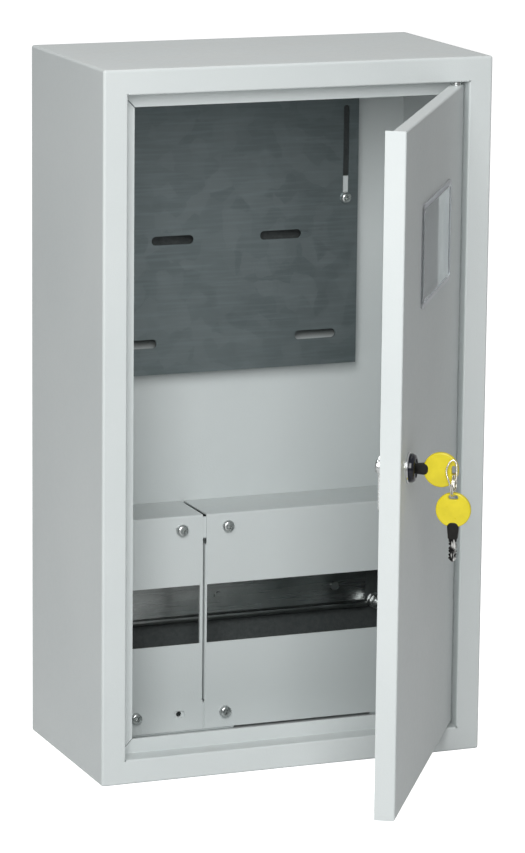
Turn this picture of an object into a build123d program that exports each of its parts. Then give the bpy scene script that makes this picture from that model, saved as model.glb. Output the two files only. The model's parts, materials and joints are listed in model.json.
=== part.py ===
"""Wall-mounted electrical enclosure: meter panel, two breaker covers, lockable door standing open.

Millimetres, Z up, front towards -Y. The origin is the centre of the housing's bottom face.
"""
import os
from math import degrees, sqrt

from build123d import *

# housing
WIDTH = 310.0
DEPTH = 165.0
HEIGHT = 540.0
SHEET = 1.0
HEAVY = 1.5
EDGE_R = 2.0
BEND_R = 1.5
FRONT_FLANGE = 19.1
RECESS = 17.0
LIP = 11.0
MITRE_GAP = 0.7
RELIEF = 1.4
REAR_FLANGE = 30.0
REAR_OPENING_R = 3.0
REAR_PANEL_MARGIN = 17.3
WALL_HOLE_X = 180.0
WALL_HOLE_Z = 460.0
WALL_HOLE_D = 8.0
KNOCKOUT_D = 28.0
KNOCKOUT_PITCH = 80.0
KNOCKOUT_FROM_REAR = 25.0
KNOCKOUT_SLIT = 0.6
KNOCKOUT_WEB = 4.0

# door, in its closed place; the hinge line is its own origin
DOOR_SIDE_GAP = 1.7
DOOR_END_GAP = 2.6
DOOR_FLANGE = 9.2
DOOR_LOCK_FLANGE = 15.0
DOOR_EDGE_R = 1.4
CORNER_SLIT = 0.4
PIN_INSET = 7.1
PIN_DEPTH = 4.9
DOOR_OPEN = 57.2
WINDOW_W = 132.0
WINDOW_H = 76.0
WINDOW_FROM_HINGE = 128.2
WINDOW_DROP = 100.3
LOCK_FROM_EDGE = 31.2
LOCK_RISE = 4.0

# hinges
PIN_D = 4.0
PIN_PLAY = 0.1
PIN_HEAD_D = 7.0
PIN_HEAD_H = 1.5
PIN_BEYOND = 1.5
CLIP_D = 7.2
CLIP_T = 0.8
CLIP_MOUTH = 2.4
WASHER_D = 7.6
WASHER_PLAY = 0.3
LUG_GAP = 4.0
LUG_T = 2.0
LUG_START = 21.0
LUG_LEG = 14.0
LUG_RISE = 16.0
LUG_SIDE_GAP = 0.6

# window
WINDOW_T = 1.8
WINDOW_BORDER = 4.5
WINDOW_SINK = 0.6
WINDOW_CHAMFER = 0.8
WINDOW_R = 3.0
SKIRT_INSET = 4.2
SKIRT_T = 1.5
SKIRT_DEPTH = 4.5
SKIRT_PLAY = 0.2
HOOK_OUT = 0.9
HOOK_END = 3.8
HOOK_W = 14.0

# lock
FLANGE_D = 22.5
FLANGE_T = 1.6
FLANGE_CHAMFER = 0.5
CAP_H = 6.2
CAP_INSET = 0.8
CAP_SLOPE = 1.8
CAP_WALL = 0.3
BOSS_D = 16.0
BARREL_D = 18.0
BARREL_FLATS = 16.0
BARREL_L = 16.5
BARREL_PLAY = 0.1
LOCK_NUT = 22.0
LOCK_NUT_H = 4.0
THREAD_DEPTH = 0.2
PLUG_D = 12.6
PLUG_HEAD_D = 13.6
PLUG_HEAD_H = 1.5
PLUG_PLAY = 0.05
PLUG_PROUD = 2.65
PLUG_BEHIND = 2.1
TANG = 7.0
CAM_T = 1.5
CAM_W = 13.0
CAM_HUB_D = 18.0
CAM_OVERREACH = 0.6
CAM_END_R = 3.0
CAM_SCREW_HEAD_D = 11.0
CAM_SCREW_HEAD_H = 2.6
CAM_SCREW_CHAMFER = 1.2
CAM_SCREW_D = 4.0
CAM_SCREW_L = 4.0

# keys and ring
BLADE_L = 16.4
BLADE_W = 5.7
BLADE_T = 1.8
BLADE_TIP = 2.4
TIP_W = 1.2
BLADE_HELD = 5.0
KEYWAY_PLAY = 0.2
KEYWAY_BEYOND = 1.2
BIT_PITCH = 2.5
BIT_DEPTHS = (1.1, 0.6, 1.3, 0.8, 1.0)
BIT_SUM = 1.9
GROOVE_W = 0.9
GROOVE_D = 0.4
NECK_W = 8.8
NECK_L = 8.6
NECK_T = 3.2
NECK_CHAMFER = 0.6
TONGUE_L = 6.0
TONGUE_W = 6.8
TONGUE_T = 2.0
BOW_D = 25.5
BOW_T = 4.0
BOW_CHAMFER = 0.8
EYE_FROM_RIM = 3.45
EYE_L = 7.0
EYE_W = 3.2
WIRE_D = 1.2
WIRE_FLAT = 0.3
WIRE_PLAY = 0.35
RING_R = 8.4
SPRUNG_TOP = (-3.9, 19.0, -0.5)
RISING_MIDDLE = (-1.95, 9.5, 5.9)
FALLING_MIDDLE = (-2.4, 11.7, -2.9)
FREE_TIP = (-0.8, 4.5, -2.6)

# meter panel, its brackets and screws
PANEL_W = 220.0
PANEL_H = 230.0
PANEL_DROP = 29.0
PANEL_STANDOFF = 15.0
METER_SLOT_L = 34.5
METER_SLOT_W = 7.0
UPPER_SLOT_PITCH = 90.0
UPPER_SLOT_RISE = 105.3
LOWER_SLOT_PITCH = 150.0
LOWER_SLOT_RISE = 24.6
PANEL_SCREW_PITCH = 199.0
PANEL_SCREW_RISE = 132.0
HEIGHT_SLOT_L = 76.0
HEIGHT_SLOT_W = 4.6
HEIGHT_SLOT_RISE = 35.0
PANEL_SCREW_D = 4.0
PANEL_SCREW_HEAD_D = 8.8
PANEL_SCREW_HEAD_H = 3.4
PANEL_SCREW_CHAMFER = 1.2
PANEL_SCREW_L = 6.5
TAB_W = 20.0
TAB_UP = 17.0
TAB_DOWN = 16.0
FOOT_H = 20.0
FOLD_R = 1.6
PILOT_CUT = 0.2

# breaker covers, their screws and brackets
COVER_STANDOFF = 53.0
COVER_TOP = 176.0
COVER_BOTTOM = 3.5
COVER_SIDE_GAP = 4.0
COVER_FLANGE = 7.4
COVER_SHELF_INSET = 0.8
COVER_REAR_GAP = 0.3
LOWER_STRIP = 23.5
UPPER_STRIP = 24.0
SEAM_X = -31.0
SEAM_GAP = 1.4
SLOT_Z = 73.0
SLOT_H = 47.0
LEFT_SLOT_INNER = 3.0
LEFT_SLOT_OUTER = 43.3
RIGHT_SLOT_INNER = 1.5
RIGHT_SLOT_OUTER = 20.8
COVER_SCREW_D = 5.0
COVER_SCREW_HEAD_D = 9.7
COVER_SCREW_HEAD_H = 3.2
COVER_SCREW_CHAMFER = 1.2
COVER_SCREW_L = 9.0
COVER_HOLE_D = 5.4
COVER_HOLE_L = 9.5
LEFT_SLOT_FROM_SEAM = 20.4
LEFT_TOP_SCREW_X = 18.6
LEFT_LOW_SCREW_X = 56.2
RIGHT_TOP_SCREW_X = 19.5
RIGHT_LOW_SCREW_X = 18.2
RIGHT_SCREW_INSET = 15.0
LEFT_TOP_DROP = 11.4
RIGHT_TOP_DROP = 10.7
LEFT_LOW_RISE = 13.1
RIGHT_LOW_RISE = 12.3
LEFT_SLOT_RISE = 13.4
LOWER_TAB_Z = 25.0
LOWER_FOOT = 12.0
LOWER_LEFT_START = 66.0
LOWER_LEFT_L = 92.0
LOWER_RIGHT_INSET = 38.0
LOWER_RIGHT_L = 35.0
UPPER_START = 29.0
UPPER_L = 60.0
UPPER_TAB_GAP = 2.0
UPPER_ARM_DROP = 19.25
UPPER_FOOT_H = 18.75
CORNER_INSET = 25.0
CORNER_LEG = 22.0
CORNER_H = 18.0

# rail and earth stud
RAIL_Z = 96.2
RAIL_END_GAP = 27.5
RAIL_H = 35.0
RAIL_WEB_H = 26.0
RAIL_RISE = 7.0
RAIL_T = 1.0
RAIL_BEND_R = 1.0
RIVET_D = 6.8
RIVET_H = 1.2
RIVET_PITCH = 100.0
STUD_D = 6.0
STUD_L = 18.0
STUD_Z = 82.0
STUD_BESIDE_RAIL = 8.0
STUD_WASHER_D = 12.0
STUD_WASHER_PLAY = 0.2
LOWER_WASHER_T = 1.2
UPPER_WASHER_T = 1.0
NUT_FLATS = 10.0
NUT_H = 5.0
DOOR_STUD_L = 12.0
DOOR_STUD_FROM_EDGE = 42.0
DOOR_STUD_Z = 60.0

FRONT = -DEPTH / 2
REAR = DEPTH / 2
REAR_FACE = REAR - 2 * SHEET
OPEN_W = WIDTH - 2 * FRONT_FLANGE
OPEN_H = HEIGHT - 2 * FRONT_FLANGE
MID_Z = HEIGHT / 2
DOOR_W = OPEN_W - 2 * DOOR_SIDE_GAP
DOOR_H = OPEN_H - 2 * DOOR_END_GAP
DOOR_Z0 = FRONT_FLANGE + DOOR_END_GAP
DOOR_Z1 = DOOR_Z0 + DOOR_H
HINGE_X = DOOR_W / 2 - PIN_INSET
HINGE_Y = FRONT + PIN_DEPTH
LOCK_X = PIN_INSET - DOOR_W + LOCK_FROM_EDGE
LOCK_Z = MID_Z + LOCK_RISE
WINDOW_X = PIN_INSET - WINDOW_FROM_HINGE
WINDOW_Z = DOOR_Z1 - WINDOW_DROP
OPENED = Location((HINGE_X, HINGE_Y, 0), (0, 0, DOOR_OPEN))
CUT = 1.0


def at_y(y):
    """Upright plane at a depth, looking out of the front."""
    return Plane.XZ.offset(-y)


def out(distance):
    """Plane in front of the closed door's face, looking out of it."""
    return Plane.XZ.offset(PIN_DEPTH + distance)


os.makedirs("parts", exist_ok=True)

# folded housing: the hollow first, then the door recess with its lip, then the shell
HOLLOW_CHAMFER = 0.6 * (EDGE_R - SHEET)
with BuildPart() as housing_hollow:
    with BuildSketch(Plane.XY.offset(SHEET)):
        Rectangle(WIDTH - 2 * SHEET, DEPTH - 2 * SHEET)
    extrude(amount=HEIGHT - 2 * SHEET)
    # this chamfer keeps the wall's thickness round the outer fillets
    chamfer(housing_hollow.edges(), HOLLOW_CHAMFER)

WALL_X = OPEN_W / 2 + SHEET / 2
WALL_Z = OPEN_H / 2 + SHEET / 2
LAND = 2 * BEND_R
with BuildLine() as recess_path:
    Polyline(
        (WALL_X, FRONT, MID_Z),
        (WALL_X, FRONT, MID_Z + WALL_Z),
        (-WALL_X, FRONT, MID_Z + WALL_Z),
        (-WALL_X, FRONT, MID_Z - WALL_Z),
        (WALL_X, FRONT, MID_Z - WALL_Z),
        close=True,
    )

with BuildPart() as door_recess:
    with BuildSketch(Plane.XY.offset(MID_Z)):
        with BuildLine():
            FilletPolyline(
                (WALL_X + LAND, FRONT + SHEET / 2),
                (WALL_X, FRONT + SHEET / 2),
                (WALL_X, FRONT + RECESS + SHEET / 2),
                (WALL_X - SHEET / 2 - LIP, FRONT + RECESS + SHEET / 2),
                radius=BEND_R - SHEET / 2,
            )
        trace(line_width=SHEET)
    sweep(path=recess_path.wire(), transition=Transition.RIGHT)

MITRE_X = (OPEN_W - LIP - MITRE_GAP) / 2
MITRE_Z = (OPEN_H - LIP - MITRE_GAP) / 2
with BuildPart() as housing_shell:
    with BuildSketch(Plane.XY):
        Rectangle(WIDTH, DEPTH)
    extrude(amount=HEIGHT)
    fillet(housing_shell.edges(), EDGE_R)
    add(housing_hollow.part, mode=Mode.SUBTRACT)
    with BuildSketch(at_y(FRONT)):
        with Locations((0, MID_Z)):
            Rectangle(2 * (WALL_X + LAND), 2 * (WALL_Z + LAND))
    extrude(amount=-SHEET, mode=Mode.SUBTRACT)
    add(door_recess.part)
    # opening at the back, inside the four rear flanges
    with BuildSketch(at_y(REAR)):
        with Locations((0, MID_Z)):
            RectangleRounded(WIDTH - 2 * REAR_FLANGE, HEIGHT - 2 * REAR_FLANGE, REAR_OPENING_R)
    extrude(amount=SHEET, mode=Mode.SUBTRACT)
    # mitre slits across the corners of the lip
    with BuildSketch(at_y(FRONT + RECESS)):
        for side in (-1, 1):
            for end in (-1, 1):
                with Locations((side * MITRE_X, MID_Z + end * MITRE_Z)):
                    Rectangle(LIP * sqrt(2), MITRE_GAP, rotation=45 * side * end)
    extrude(amount=-SHEET, mode=Mode.SUBTRACT)
    # square bend reliefs at the recess corners
    with BuildSketch(at_y(FRONT)):
        with Locations((0, MID_Z)):
            with GridLocations(OPEN_W + RELIEF / 2, OPEN_H + RELIEF / 2, 2, 2):
                Rectangle(RELIEF, RELIEF)
    extrude(amount=-2 * SHEET, mode=Mode.SUBTRACT)
    # cable knockouts in the floor, each held by two webs
    with BuildSketch(Plane.XY):
        with Locations((0, REAR - KNOCKOUT_FROM_REAR)):
            with GridLocations(KNOCKOUT_PITCH, 1, 3, 1):
                Circle((KNOCKOUT_D + KNOCKOUT_SLIT) / 2)
                Circle((KNOCKOUT_D - KNOCKOUT_SLIT) / 2, mode=Mode.SUBTRACT)
                Rectangle(KNOCKOUT_D + KNOCKOUT_WEB, KNOCKOUT_WEB, mode=Mode.SUBTRACT)
    extrude(amount=SHEET, mode=Mode.SUBTRACT)
    # hinge pin holes in the top and bottom of the recess
    with BuildSketch(Plane.XY.offset(FRONT_FLANGE - SHEET - CUT)):
        with Locations((HINGE_X, HINGE_Y)):
            Circle((PIN_D + PIN_PLAY) / 2)
    extrude(amount=OPEN_H + 2 * SHEET + 2 * CUT, mode=Mode.SUBTRACT)

# plate closing the back, welded inside the rear flanges, with four wall-fixing holes
with BuildPart() as rear_panel:
    with BuildSketch(at_y(REAR_FACE)):
        with Locations((0, MID_Z)):
            Rectangle(WIDTH - 2 * REAR_PANEL_MARGIN, HEIGHT - 2 * REAR_PANEL_MARGIN)
            with GridLocations(WALL_HOLE_X, WALL_HOLE_Z, 2, 2):
                Circle(WALL_HOLE_D / 2, mode=Mode.SUBTRACT)
    extrude(amount=-SHEET)

# galvanised meter panel with four fixing slots and two height slots
PANEL_Z = HEIGHT - PANEL_DROP - PANEL_H
PANEL_Y = REAR - PANEL_STANDOFF
PANEL_SCREW_Z = PANEL_Z + PANEL_SCREW_RISE
with BuildPart() as meter_panel:
    with BuildSketch(at_y(PANEL_Y)):
        with Locations((0, PANEL_Z + PANEL_H / 2)):
            Rectangle(PANEL_W, PANEL_H)
        with Locations((0, PANEL_Z + UPPER_SLOT_RISE)):
            with GridLocations(UPPER_SLOT_PITCH, 1, 2, 1):
                SlotOverall(METER_SLOT_L, METER_SLOT_W, mode=Mode.SUBTRACT)
        with Locations((0, PANEL_Z + LOWER_SLOT_RISE)):
            with GridLocations(LOWER_SLOT_PITCH, 1, 2, 1):
                SlotOverall(METER_SLOT_L, METER_SLOT_W, mode=Mode.SUBTRACT)
        with Locations((0, PANEL_SCREW_Z + HEIGHT_SLOT_RISE)):
            with GridLocations(PANEL_SCREW_PITCH, 1, 2, 1):
                SlotOverall(HEIGHT_SLOT_L, HEIGHT_SLOT_W, rotation=90, mode=Mode.SUBTRACT)
    extrude(amount=-SHEET)

# Z-shaped brackets that carry the meter panel
TAB_Y = PANEL_Y + SHEET + HEAVY / 2
FOOT_Y = REAR_FACE - HEAVY / 2
with BuildPart() as panel_brackets:
    for side in (-1, 1):
        with BuildSketch(Plane.YZ.offset((side * PANEL_SCREW_PITCH - TAB_W) / 2)):
            with BuildLine():
                FilletPolyline(
                    (TAB_Y, PANEL_SCREW_Z + TAB_UP),
                    (TAB_Y, PANEL_SCREW_Z - TAB_DOWN),
                    (FOOT_Y, PANEL_SCREW_Z - TAB_DOWN),
                    (FOOT_Y, PANEL_SCREW_Z - TAB_DOWN - FOOT_H),
                    radius=FOLD_R,
                )
            trace(line_width=HEAVY)
        extrude(amount=TAB_W)
    with BuildSketch(at_y(PANEL_Y)):
        with Locations((0, PANEL_SCREW_Z)):
            with GridLocations(PANEL_SCREW_PITCH, 1, 2, 1):
                RegularPolygon(PANEL_SCREW_D / 2 - PILOT_CUT, 8)
    extrude(amount=-SHEET - HEAVY - CUT, mode=Mode.SUBTRACT)

# screws of the meter panel; hidden shanks have eight sides, here and on the covers
with BuildPart() as panel_screws:
    with BuildSketch(at_y(PANEL_Y)):
        with Locations((0, PANEL_SCREW_Z)):
            with GridLocations(PANEL_SCREW_PITCH, 1, 2, 1):
                Circle(PANEL_SCREW_HEAD_D / 2)
    extrude(amount=PANEL_SCREW_HEAD_H)
    chamfer(panel_screws.faces().sort_by(Axis.Y)[0:2].edges(), PANEL_SCREW_CHAMFER)
    with BuildSketch(at_y(PANEL_Y)):
        with Locations((0, PANEL_SCREW_Z)):
            with GridLocations(PANEL_SCREW_PITCH, 1, 2, 1):
                RegularPolygon(PANEL_SCREW_D / 2, 8)
    extrude(amount=-PANEL_SCREW_L)

# screw places on the covers, X and Z
COVER_X = WIDTH / 2 - SHEET - COVER_SIDE_GAP
COVER_Y = REAR - COVER_STANDOFF
LEFT_TOP = (SEAM_X - LEFT_TOP_SCREW_X, COVER_TOP - LEFT_TOP_DROP)
LEFT_LOW = (SEAM_X - LEFT_LOW_SCREW_X, COVER_BOTTOM + LEFT_LOW_RISE)
LEFT_LOW_SLOT = (SEAM_X - LEFT_SLOT_FROM_SEAM, COVER_BOTTOM + LEFT_SLOT_RISE)
RIGHT_TOP = (SEAM_X + RIGHT_TOP_SCREW_X, COVER_TOP - RIGHT_TOP_DROP)
RIGHT_LOW = (SEAM_X + RIGHT_LOW_SCREW_X, COVER_BOTTOM + RIGHT_LOW_RISE)
CORNER_TOP = (COVER_X - RIGHT_SCREW_INSET, COVER_TOP - RIGHT_TOP_DROP)
CORNER_LOW = (COVER_X - RIGHT_SCREW_INSET, COVER_BOTTOM + RIGHT_LOW_RISE)
COVER_SCREWS = (LEFT_TOP, LEFT_LOW, RIGHT_TOP, RIGHT_LOW, CORNER_TOP, CORNER_LOW)
STRIP_Z = COVER_BOTTOM + LOWER_STRIP


def cover_blank(x0, x1):
    """Front sheet bent back along the top, with a shallow flange down each side."""
    with BuildPart() as blank:
        with BuildSketch(Plane.YZ.offset(x0 + COVER_SHELF_INSET)):
            with BuildLine():
                FilletPolyline(
                    (COVER_Y + SHEET / 2, STRIP_Z + CUT),
                    (COVER_Y + SHEET / 2, COVER_TOP - SHEET / 2),
                    (REAR_FACE - COVER_REAR_GAP, COVER_TOP - SHEET / 2),
                    radius=BEND_R - SHEET / 2,
                )
            trace(line_width=SHEET)
        extrude(amount=x1 - x0 - 2 * COVER_SHELF_INSET)
        with BuildSketch(Plane.XY.offset(STRIP_Z)):
            with BuildLine():
                FilletPolyline(
                    (x0 + SHEET / 2, COVER_Y + COVER_FLANGE),
                    (x0 + SHEET / 2, COVER_Y + SHEET / 2),
                    (x1 - SHEET / 2, COVER_Y + SHEET / 2),
                    (x1 - SHEET / 2, COVER_Y + COVER_FLANGE),
                    radius=BEND_R - SHEET / 2,
                )
            trace(line_width=SHEET)
        extrude(amount=COVER_TOP - UPPER_STRIP - STRIP_Z)
        with BuildSketch(at_y(COVER_Y)):
            with Locations(((x0 + x1) / 2, COVER_BOTTOM + LOWER_STRIP / 2)):
                Rectangle(x1 - x0, LOWER_STRIP)
        extrude(amount=-SHEET)
    return blank.part


LEFT_EDGE = SEAM_X - SEAM_GAP / 2
LEFT_SLOT_W = LEFT_EDGE + COVER_X - LEFT_SLOT_INNER - LEFT_SLOT_OUTER
with BuildPart() as left_cover:
    add(cover_blank(-COVER_X, LEFT_EDGE))
    with BuildSketch(at_y(COVER_Y)):
        with Locations((LEFT_EDGE - LEFT_SLOT_INNER - LEFT_SLOT_W / 2, SLOT_Z + SLOT_H / 2)):
            Rectangle(LEFT_SLOT_W, SLOT_H)
        with Locations((LEFT_LOW_SLOT[0], LEFT_TOP[1]), LEFT_LOW_SLOT):
            SlotOverall(COVER_HOLE_L, COVER_HOLE_D)
        with Locations(LEFT_LOW):
            Circle(COVER_HOLE_D / 2)
    extrude(amount=-SHEET, mode=Mode.SUBTRACT)

RIGHT_EDGE = SEAM_X + SEAM_GAP / 2
RIGHT_SLOT_W = COVER_X - RIGHT_EDGE - RIGHT_SLOT_INNER - RIGHT_SLOT_OUTER
with BuildPart() as right_cover:
    add(cover_blank(RIGHT_EDGE, COVER_X))
    with BuildSketch(at_y(COVER_Y)):
        with Locations((RIGHT_EDGE + RIGHT_SLOT_INNER + RIGHT_SLOT_W / 2, SLOT_Z + SLOT_H / 2)):
            Rectangle(RIGHT_SLOT_W, SLOT_H)
        with Locations(RIGHT_TOP, RIGHT_LOW, CORNER_TOP, CORNER_LOW):
            Circle(COVER_HOLE_D / 2)
    extrude(amount=-SHEET, mode=Mode.SUBTRACT)

# pan-head screws that hold the covers
with BuildPart() as cover_screws:
    with BuildSketch(at_y(COVER_Y)):
        with Locations(*COVER_SCREWS):
            Circle(COVER_SCREW_HEAD_D / 2)
    extrude(amount=COVER_SCREW_HEAD_H)
    chamfer(cover_screws.faces().sort_by(Axis.Y)[0:6].edges(), COVER_SCREW_CHAMFER)
    with BuildSketch(at_y(COVER_Y)):
        with Locations(*COVER_SCREWS):
            RegularPolygon(COVER_SCREW_D / 2, 8)
    extrude(amount=-COVER_SCREW_L)

# brackets behind the covers, each with the tapped holes of its screws
BRACKET_Y = COVER_Y + SHEET + HEAVY / 2
FLOOR_Z = SHEET + HEAVY / 2
TAPPED_R = COVER_SCREW_D / 2 - PILOT_CUT
TAP_DEPTH = SHEET + HEAVY + CUT
with BuildPart() as lower_bracket_left:
    with BuildSketch(Plane.YZ.offset(SEAM_X - LOWER_LEFT_START)):
        with BuildLine():
            FilletPolyline(
                (BRACKET_Y, LOWER_TAB_Z),
                (BRACKET_Y, FLOOR_Z),
                (BRACKET_Y + LOWER_FOOT, FLOOR_Z),
                radius=FOLD_R,
            )
        trace(line_width=HEAVY)
    extrude(amount=LOWER_LEFT_L)
    with BuildSketch(at_y(COVER_Y)):
        with Locations(LEFT_LOW, LEFT_LOW_SLOT, RIGHT_LOW):
            RegularPolygon(TAPPED_R, 8)
    extrude(amount=-TAP_DEPTH, mode=Mode.SUBTRACT)

with BuildPart() as lower_bracket_right:
    with BuildSketch(Plane.YZ.offset(COVER_X - LOWER_RIGHT_INSET)):
        with BuildLine():
            FilletPolyline(
                (BRACKET_Y, LOWER_TAB_Z),
                (BRACKET_Y, FLOOR_Z),
                (BRACKET_Y + LOWER_FOOT, FLOOR_Z),
                radius=FOLD_R,
            )
        trace(line_width=HEAVY)
    extrude(amount=LOWER_RIGHT_L)
    with BuildSketch(at_y(COVER_Y)):
        with Locations(CORNER_LOW):
            RegularPolygon(TAPPED_R, 8)
    extrude(amount=-TAP_DEPTH, mode=Mode.SUBTRACT)

TAB_TOP = COVER_TOP - UPPER_TAB_GAP
ARM_Z = COVER_TOP - UPPER_ARM_DROP
with BuildPart() as upper_bracket:
    with BuildSketch(Plane.YZ.offset(SEAM_X - UPPER_START)):
        with BuildLine():
            FilletPolyline(
                (BRACKET_Y, TAB_TOP),
                (BRACKET_Y, ARM_Z),
                (FOOT_Y, ARM_Z),
                (FOOT_Y, ARM_Z - UPPER_FOOT_H),
                radius=FOLD_R,
            )
        trace(line_width=HEAVY)
    extrude(amount=UPPER_L)
    with BuildSketch(at_y(COVER_Y)):
        with Locations(LEFT_TOP, RIGHT_TOP):
            RegularPolygon(TAPPED_R, 8)
    extrude(amount=-TAP_DEPTH, mode=Mode.SUBTRACT)

CORNER_X = WIDTH / 2 - SHEET - HEAVY / 2
with BuildPart() as upper_bracket_right:
    with BuildSketch(Plane.XY.offset(TAB_TOP - CORNER_H)):
        with BuildLine():
            FilletPolyline(
                (COVER_X - CORNER_INSET, BRACKET_Y),
                (CORNER_X, BRACKET_Y),
                (CORNER_X, BRACKET_Y + CORNER_LEG),
                radius=FOLD_R,
            )
        trace(line_width=HEAVY)
    extrude(amount=CORNER_H)
    with BuildSketch(at_y(COVER_Y)):
        with Locations(CORNER_TOP):
            RegularPolygon(TAPPED_R, 8)
    extrude(amount=-TAP_DEPTH, mode=Mode.SUBTRACT)

# top-hat rail riveted to the rear plate
RAIL_L = WIDTH - 2 * SHEET - 2 * RAIL_END_GAP
RAIL_FRONT = REAR_FACE - RAIL_RISE
RAIL_BACK = REAR_FACE - RAIL_T / 2
with BuildPart() as din_rail:
    with BuildSketch(Plane.YZ.offset(-RAIL_L / 2)):
        with BuildLine():
            FilletPolyline(
                (RAIL_FRONT, RAIL_Z - RAIL_H / 2),
                (RAIL_FRONT, RAIL_Z - RAIL_WEB_H / 2),
                (RAIL_BACK, RAIL_Z - RAIL_WEB_H / 2),
                (RAIL_BACK, RAIL_Z + RAIL_WEB_H / 2),
                (RAIL_FRONT, RAIL_Z + RAIL_WEB_H / 2),
                (RAIL_FRONT, RAIL_Z + RAIL_H / 2),
                radius=RAIL_BEND_R,
            )
        trace(line_width=RAIL_T)
    extrude(amount=RAIL_L)

with BuildPart() as rail_rivets:
    with BuildSketch(at_y(REAR_FACE - RAIL_T)):
        with Locations((0, RAIL_Z)):
            with GridLocations(RIVET_PITCH, 1, 3, 1):
                Circle(RIVET_D / 2)
    extrude(amount=RIVET_H)

# earth stud on the rear plate beside the end of the rail
STUD_AT = (RAIL_L / 2 + STUD_BESIDE_RAIL, STUD_Z)
NUT_BORE = STUD_D / 2 - THREAD_DEPTH
UPPER_WASHER_AT = LOWER_WASHER_T + NUT_H
with BuildPart() as earth_stud:
    with BuildSketch(at_y(REAR_FACE)):
        with Locations(STUD_AT):
            Circle(STUD_D / 2)
    extrude(amount=STUD_L)

with BuildPart() as earth_washers:
    for start, thick in ((0.0, LOWER_WASHER_T), (UPPER_WASHER_AT, UPPER_WASHER_T)):
        with BuildSketch(at_y(REAR_FACE - start)):
            with Locations(STUD_AT):
                Circle(STUD_WASHER_D / 2)
                Circle(STUD_D / 2 + STUD_WASHER_PLAY, mode=Mode.SUBTRACT)
        extrude(amount=thick)

with BuildPart() as earth_nuts:
    for start in (LOWER_WASHER_T, UPPER_WASHER_AT + UPPER_WASHER_T):
        with BuildSketch(at_y(REAR_FACE - start)):
            with Locations(STUD_AT):
                RegularPolygon(NUT_FLATS / 2, 6, major_radius=False)
                Circle(NUT_BORE, mode=Mode.SUBTRACT)
        extrude(amount=NUT_H)

# door, modelled closed about its hinge line: hollow, then the folded leaf
LEAF_X = PIN_INSET - DOOR_W / 2
LEAF_FRONT = -PIN_DEPTH
INSIDE = DOOR_LOCK_FLANGE - SHEET + CUT
with BuildPart() as leaf_hollow:
    with BuildSketch(Plane.XY.offset(DOOR_Z0 + SHEET)):
        with Locations((LEAF_X, LEAF_FRONT + SHEET + INSIDE / 2)):
            Rectangle(DOOR_W - 2 * SHEET, INSIDE)
    extrude(amount=DOOR_H - 2 * SHEET)
    fillet(leaf_hollow.faces().sort_by(Axis.Y)[0].edges(), DOOR_EDGE_R - SHEET)

HOLE_R = (PIN_D + PIN_PLAY) / 2
LOCK_AT = (LOCK_X, LOCK_Z)
WINDOW_AT = (WINDOW_X, WINDOW_Z)
SKIRT_W = WINDOW_W - 2 * SKIRT_INSET
SKIRT_H = WINDOW_H - 2 * SKIRT_INSET
with BuildPart() as leaf:
    with BuildSketch(Plane.XY.offset(DOOR_Z0)):
        with Locations((LEAF_X, LEAF_FRONT + DOOR_LOCK_FLANGE / 2)):
            Rectangle(DOOR_W, DOOR_LOCK_FLANGE)
    extrude(amount=DOOR_H)
    fillet(leaf.faces().sort_by(Axis.Y)[0].edges(), DOOR_EDGE_R)
    add(leaf_hollow.part, mode=Mode.SUBTRACT)
    # three flanges are shallower than the one on the lock side
    with BuildSketch(out(-DOOR_FLANGE)):
        with Locations((LEAF_X + SHEET, MID_Z)):
            Rectangle(DOOR_W, DOOR_H + 2 * CUT)
    extrude(amount=DOOR_FLANGE - DOOR_LOCK_FLANGE, mode=Mode.SUBTRACT)
    # slits where the end flanges meet the side flanges
    with BuildSketch(out(-DOOR_EDGE_R)):
        with Locations((LEAF_X, MID_Z)):
            with GridLocations(DOOR_W - 2 * SHEET - CORNER_SLIT, DOOR_H - SHEET, 2, 2):
                Rectangle(CORNER_SLIT, SHEET + CORNER_SLIT / 2)
    extrude(amount=DOOR_EDGE_R - DOOR_LOCK_FLANGE, mode=Mode.SUBTRACT)
    # window and lock openings
    with BuildSketch(out(0)):
        with Locations(WINDOW_AT):
            RectangleRounded(SKIRT_W + 2 * SKIRT_PLAY, SKIRT_H + 2 * SKIRT_PLAY, WINDOW_R - CUT)
    extrude(amount=-SHEET, mode=Mode.SUBTRACT)
    with BuildSketch(out(0)):
        with Locations(LOCK_AT):
            Circle(BARREL_D / 2 + BARREL_PLAY)
            Rectangle(BARREL_FLATS + 2 * BARREL_PLAY, 2 * BARREL_D, mode=Mode.INTERSECT)
    extrude(amount=-SHEET, mode=Mode.SUBTRACT)
    # hinge pin holes in the end flanges
    with BuildSketch(Plane.XY.offset(DOOR_Z0 - CUT)):
        Circle(HOLE_R)
    extrude(amount=DOOR_H + 2 * CUT, mode=Mode.SUBTRACT)

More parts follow.
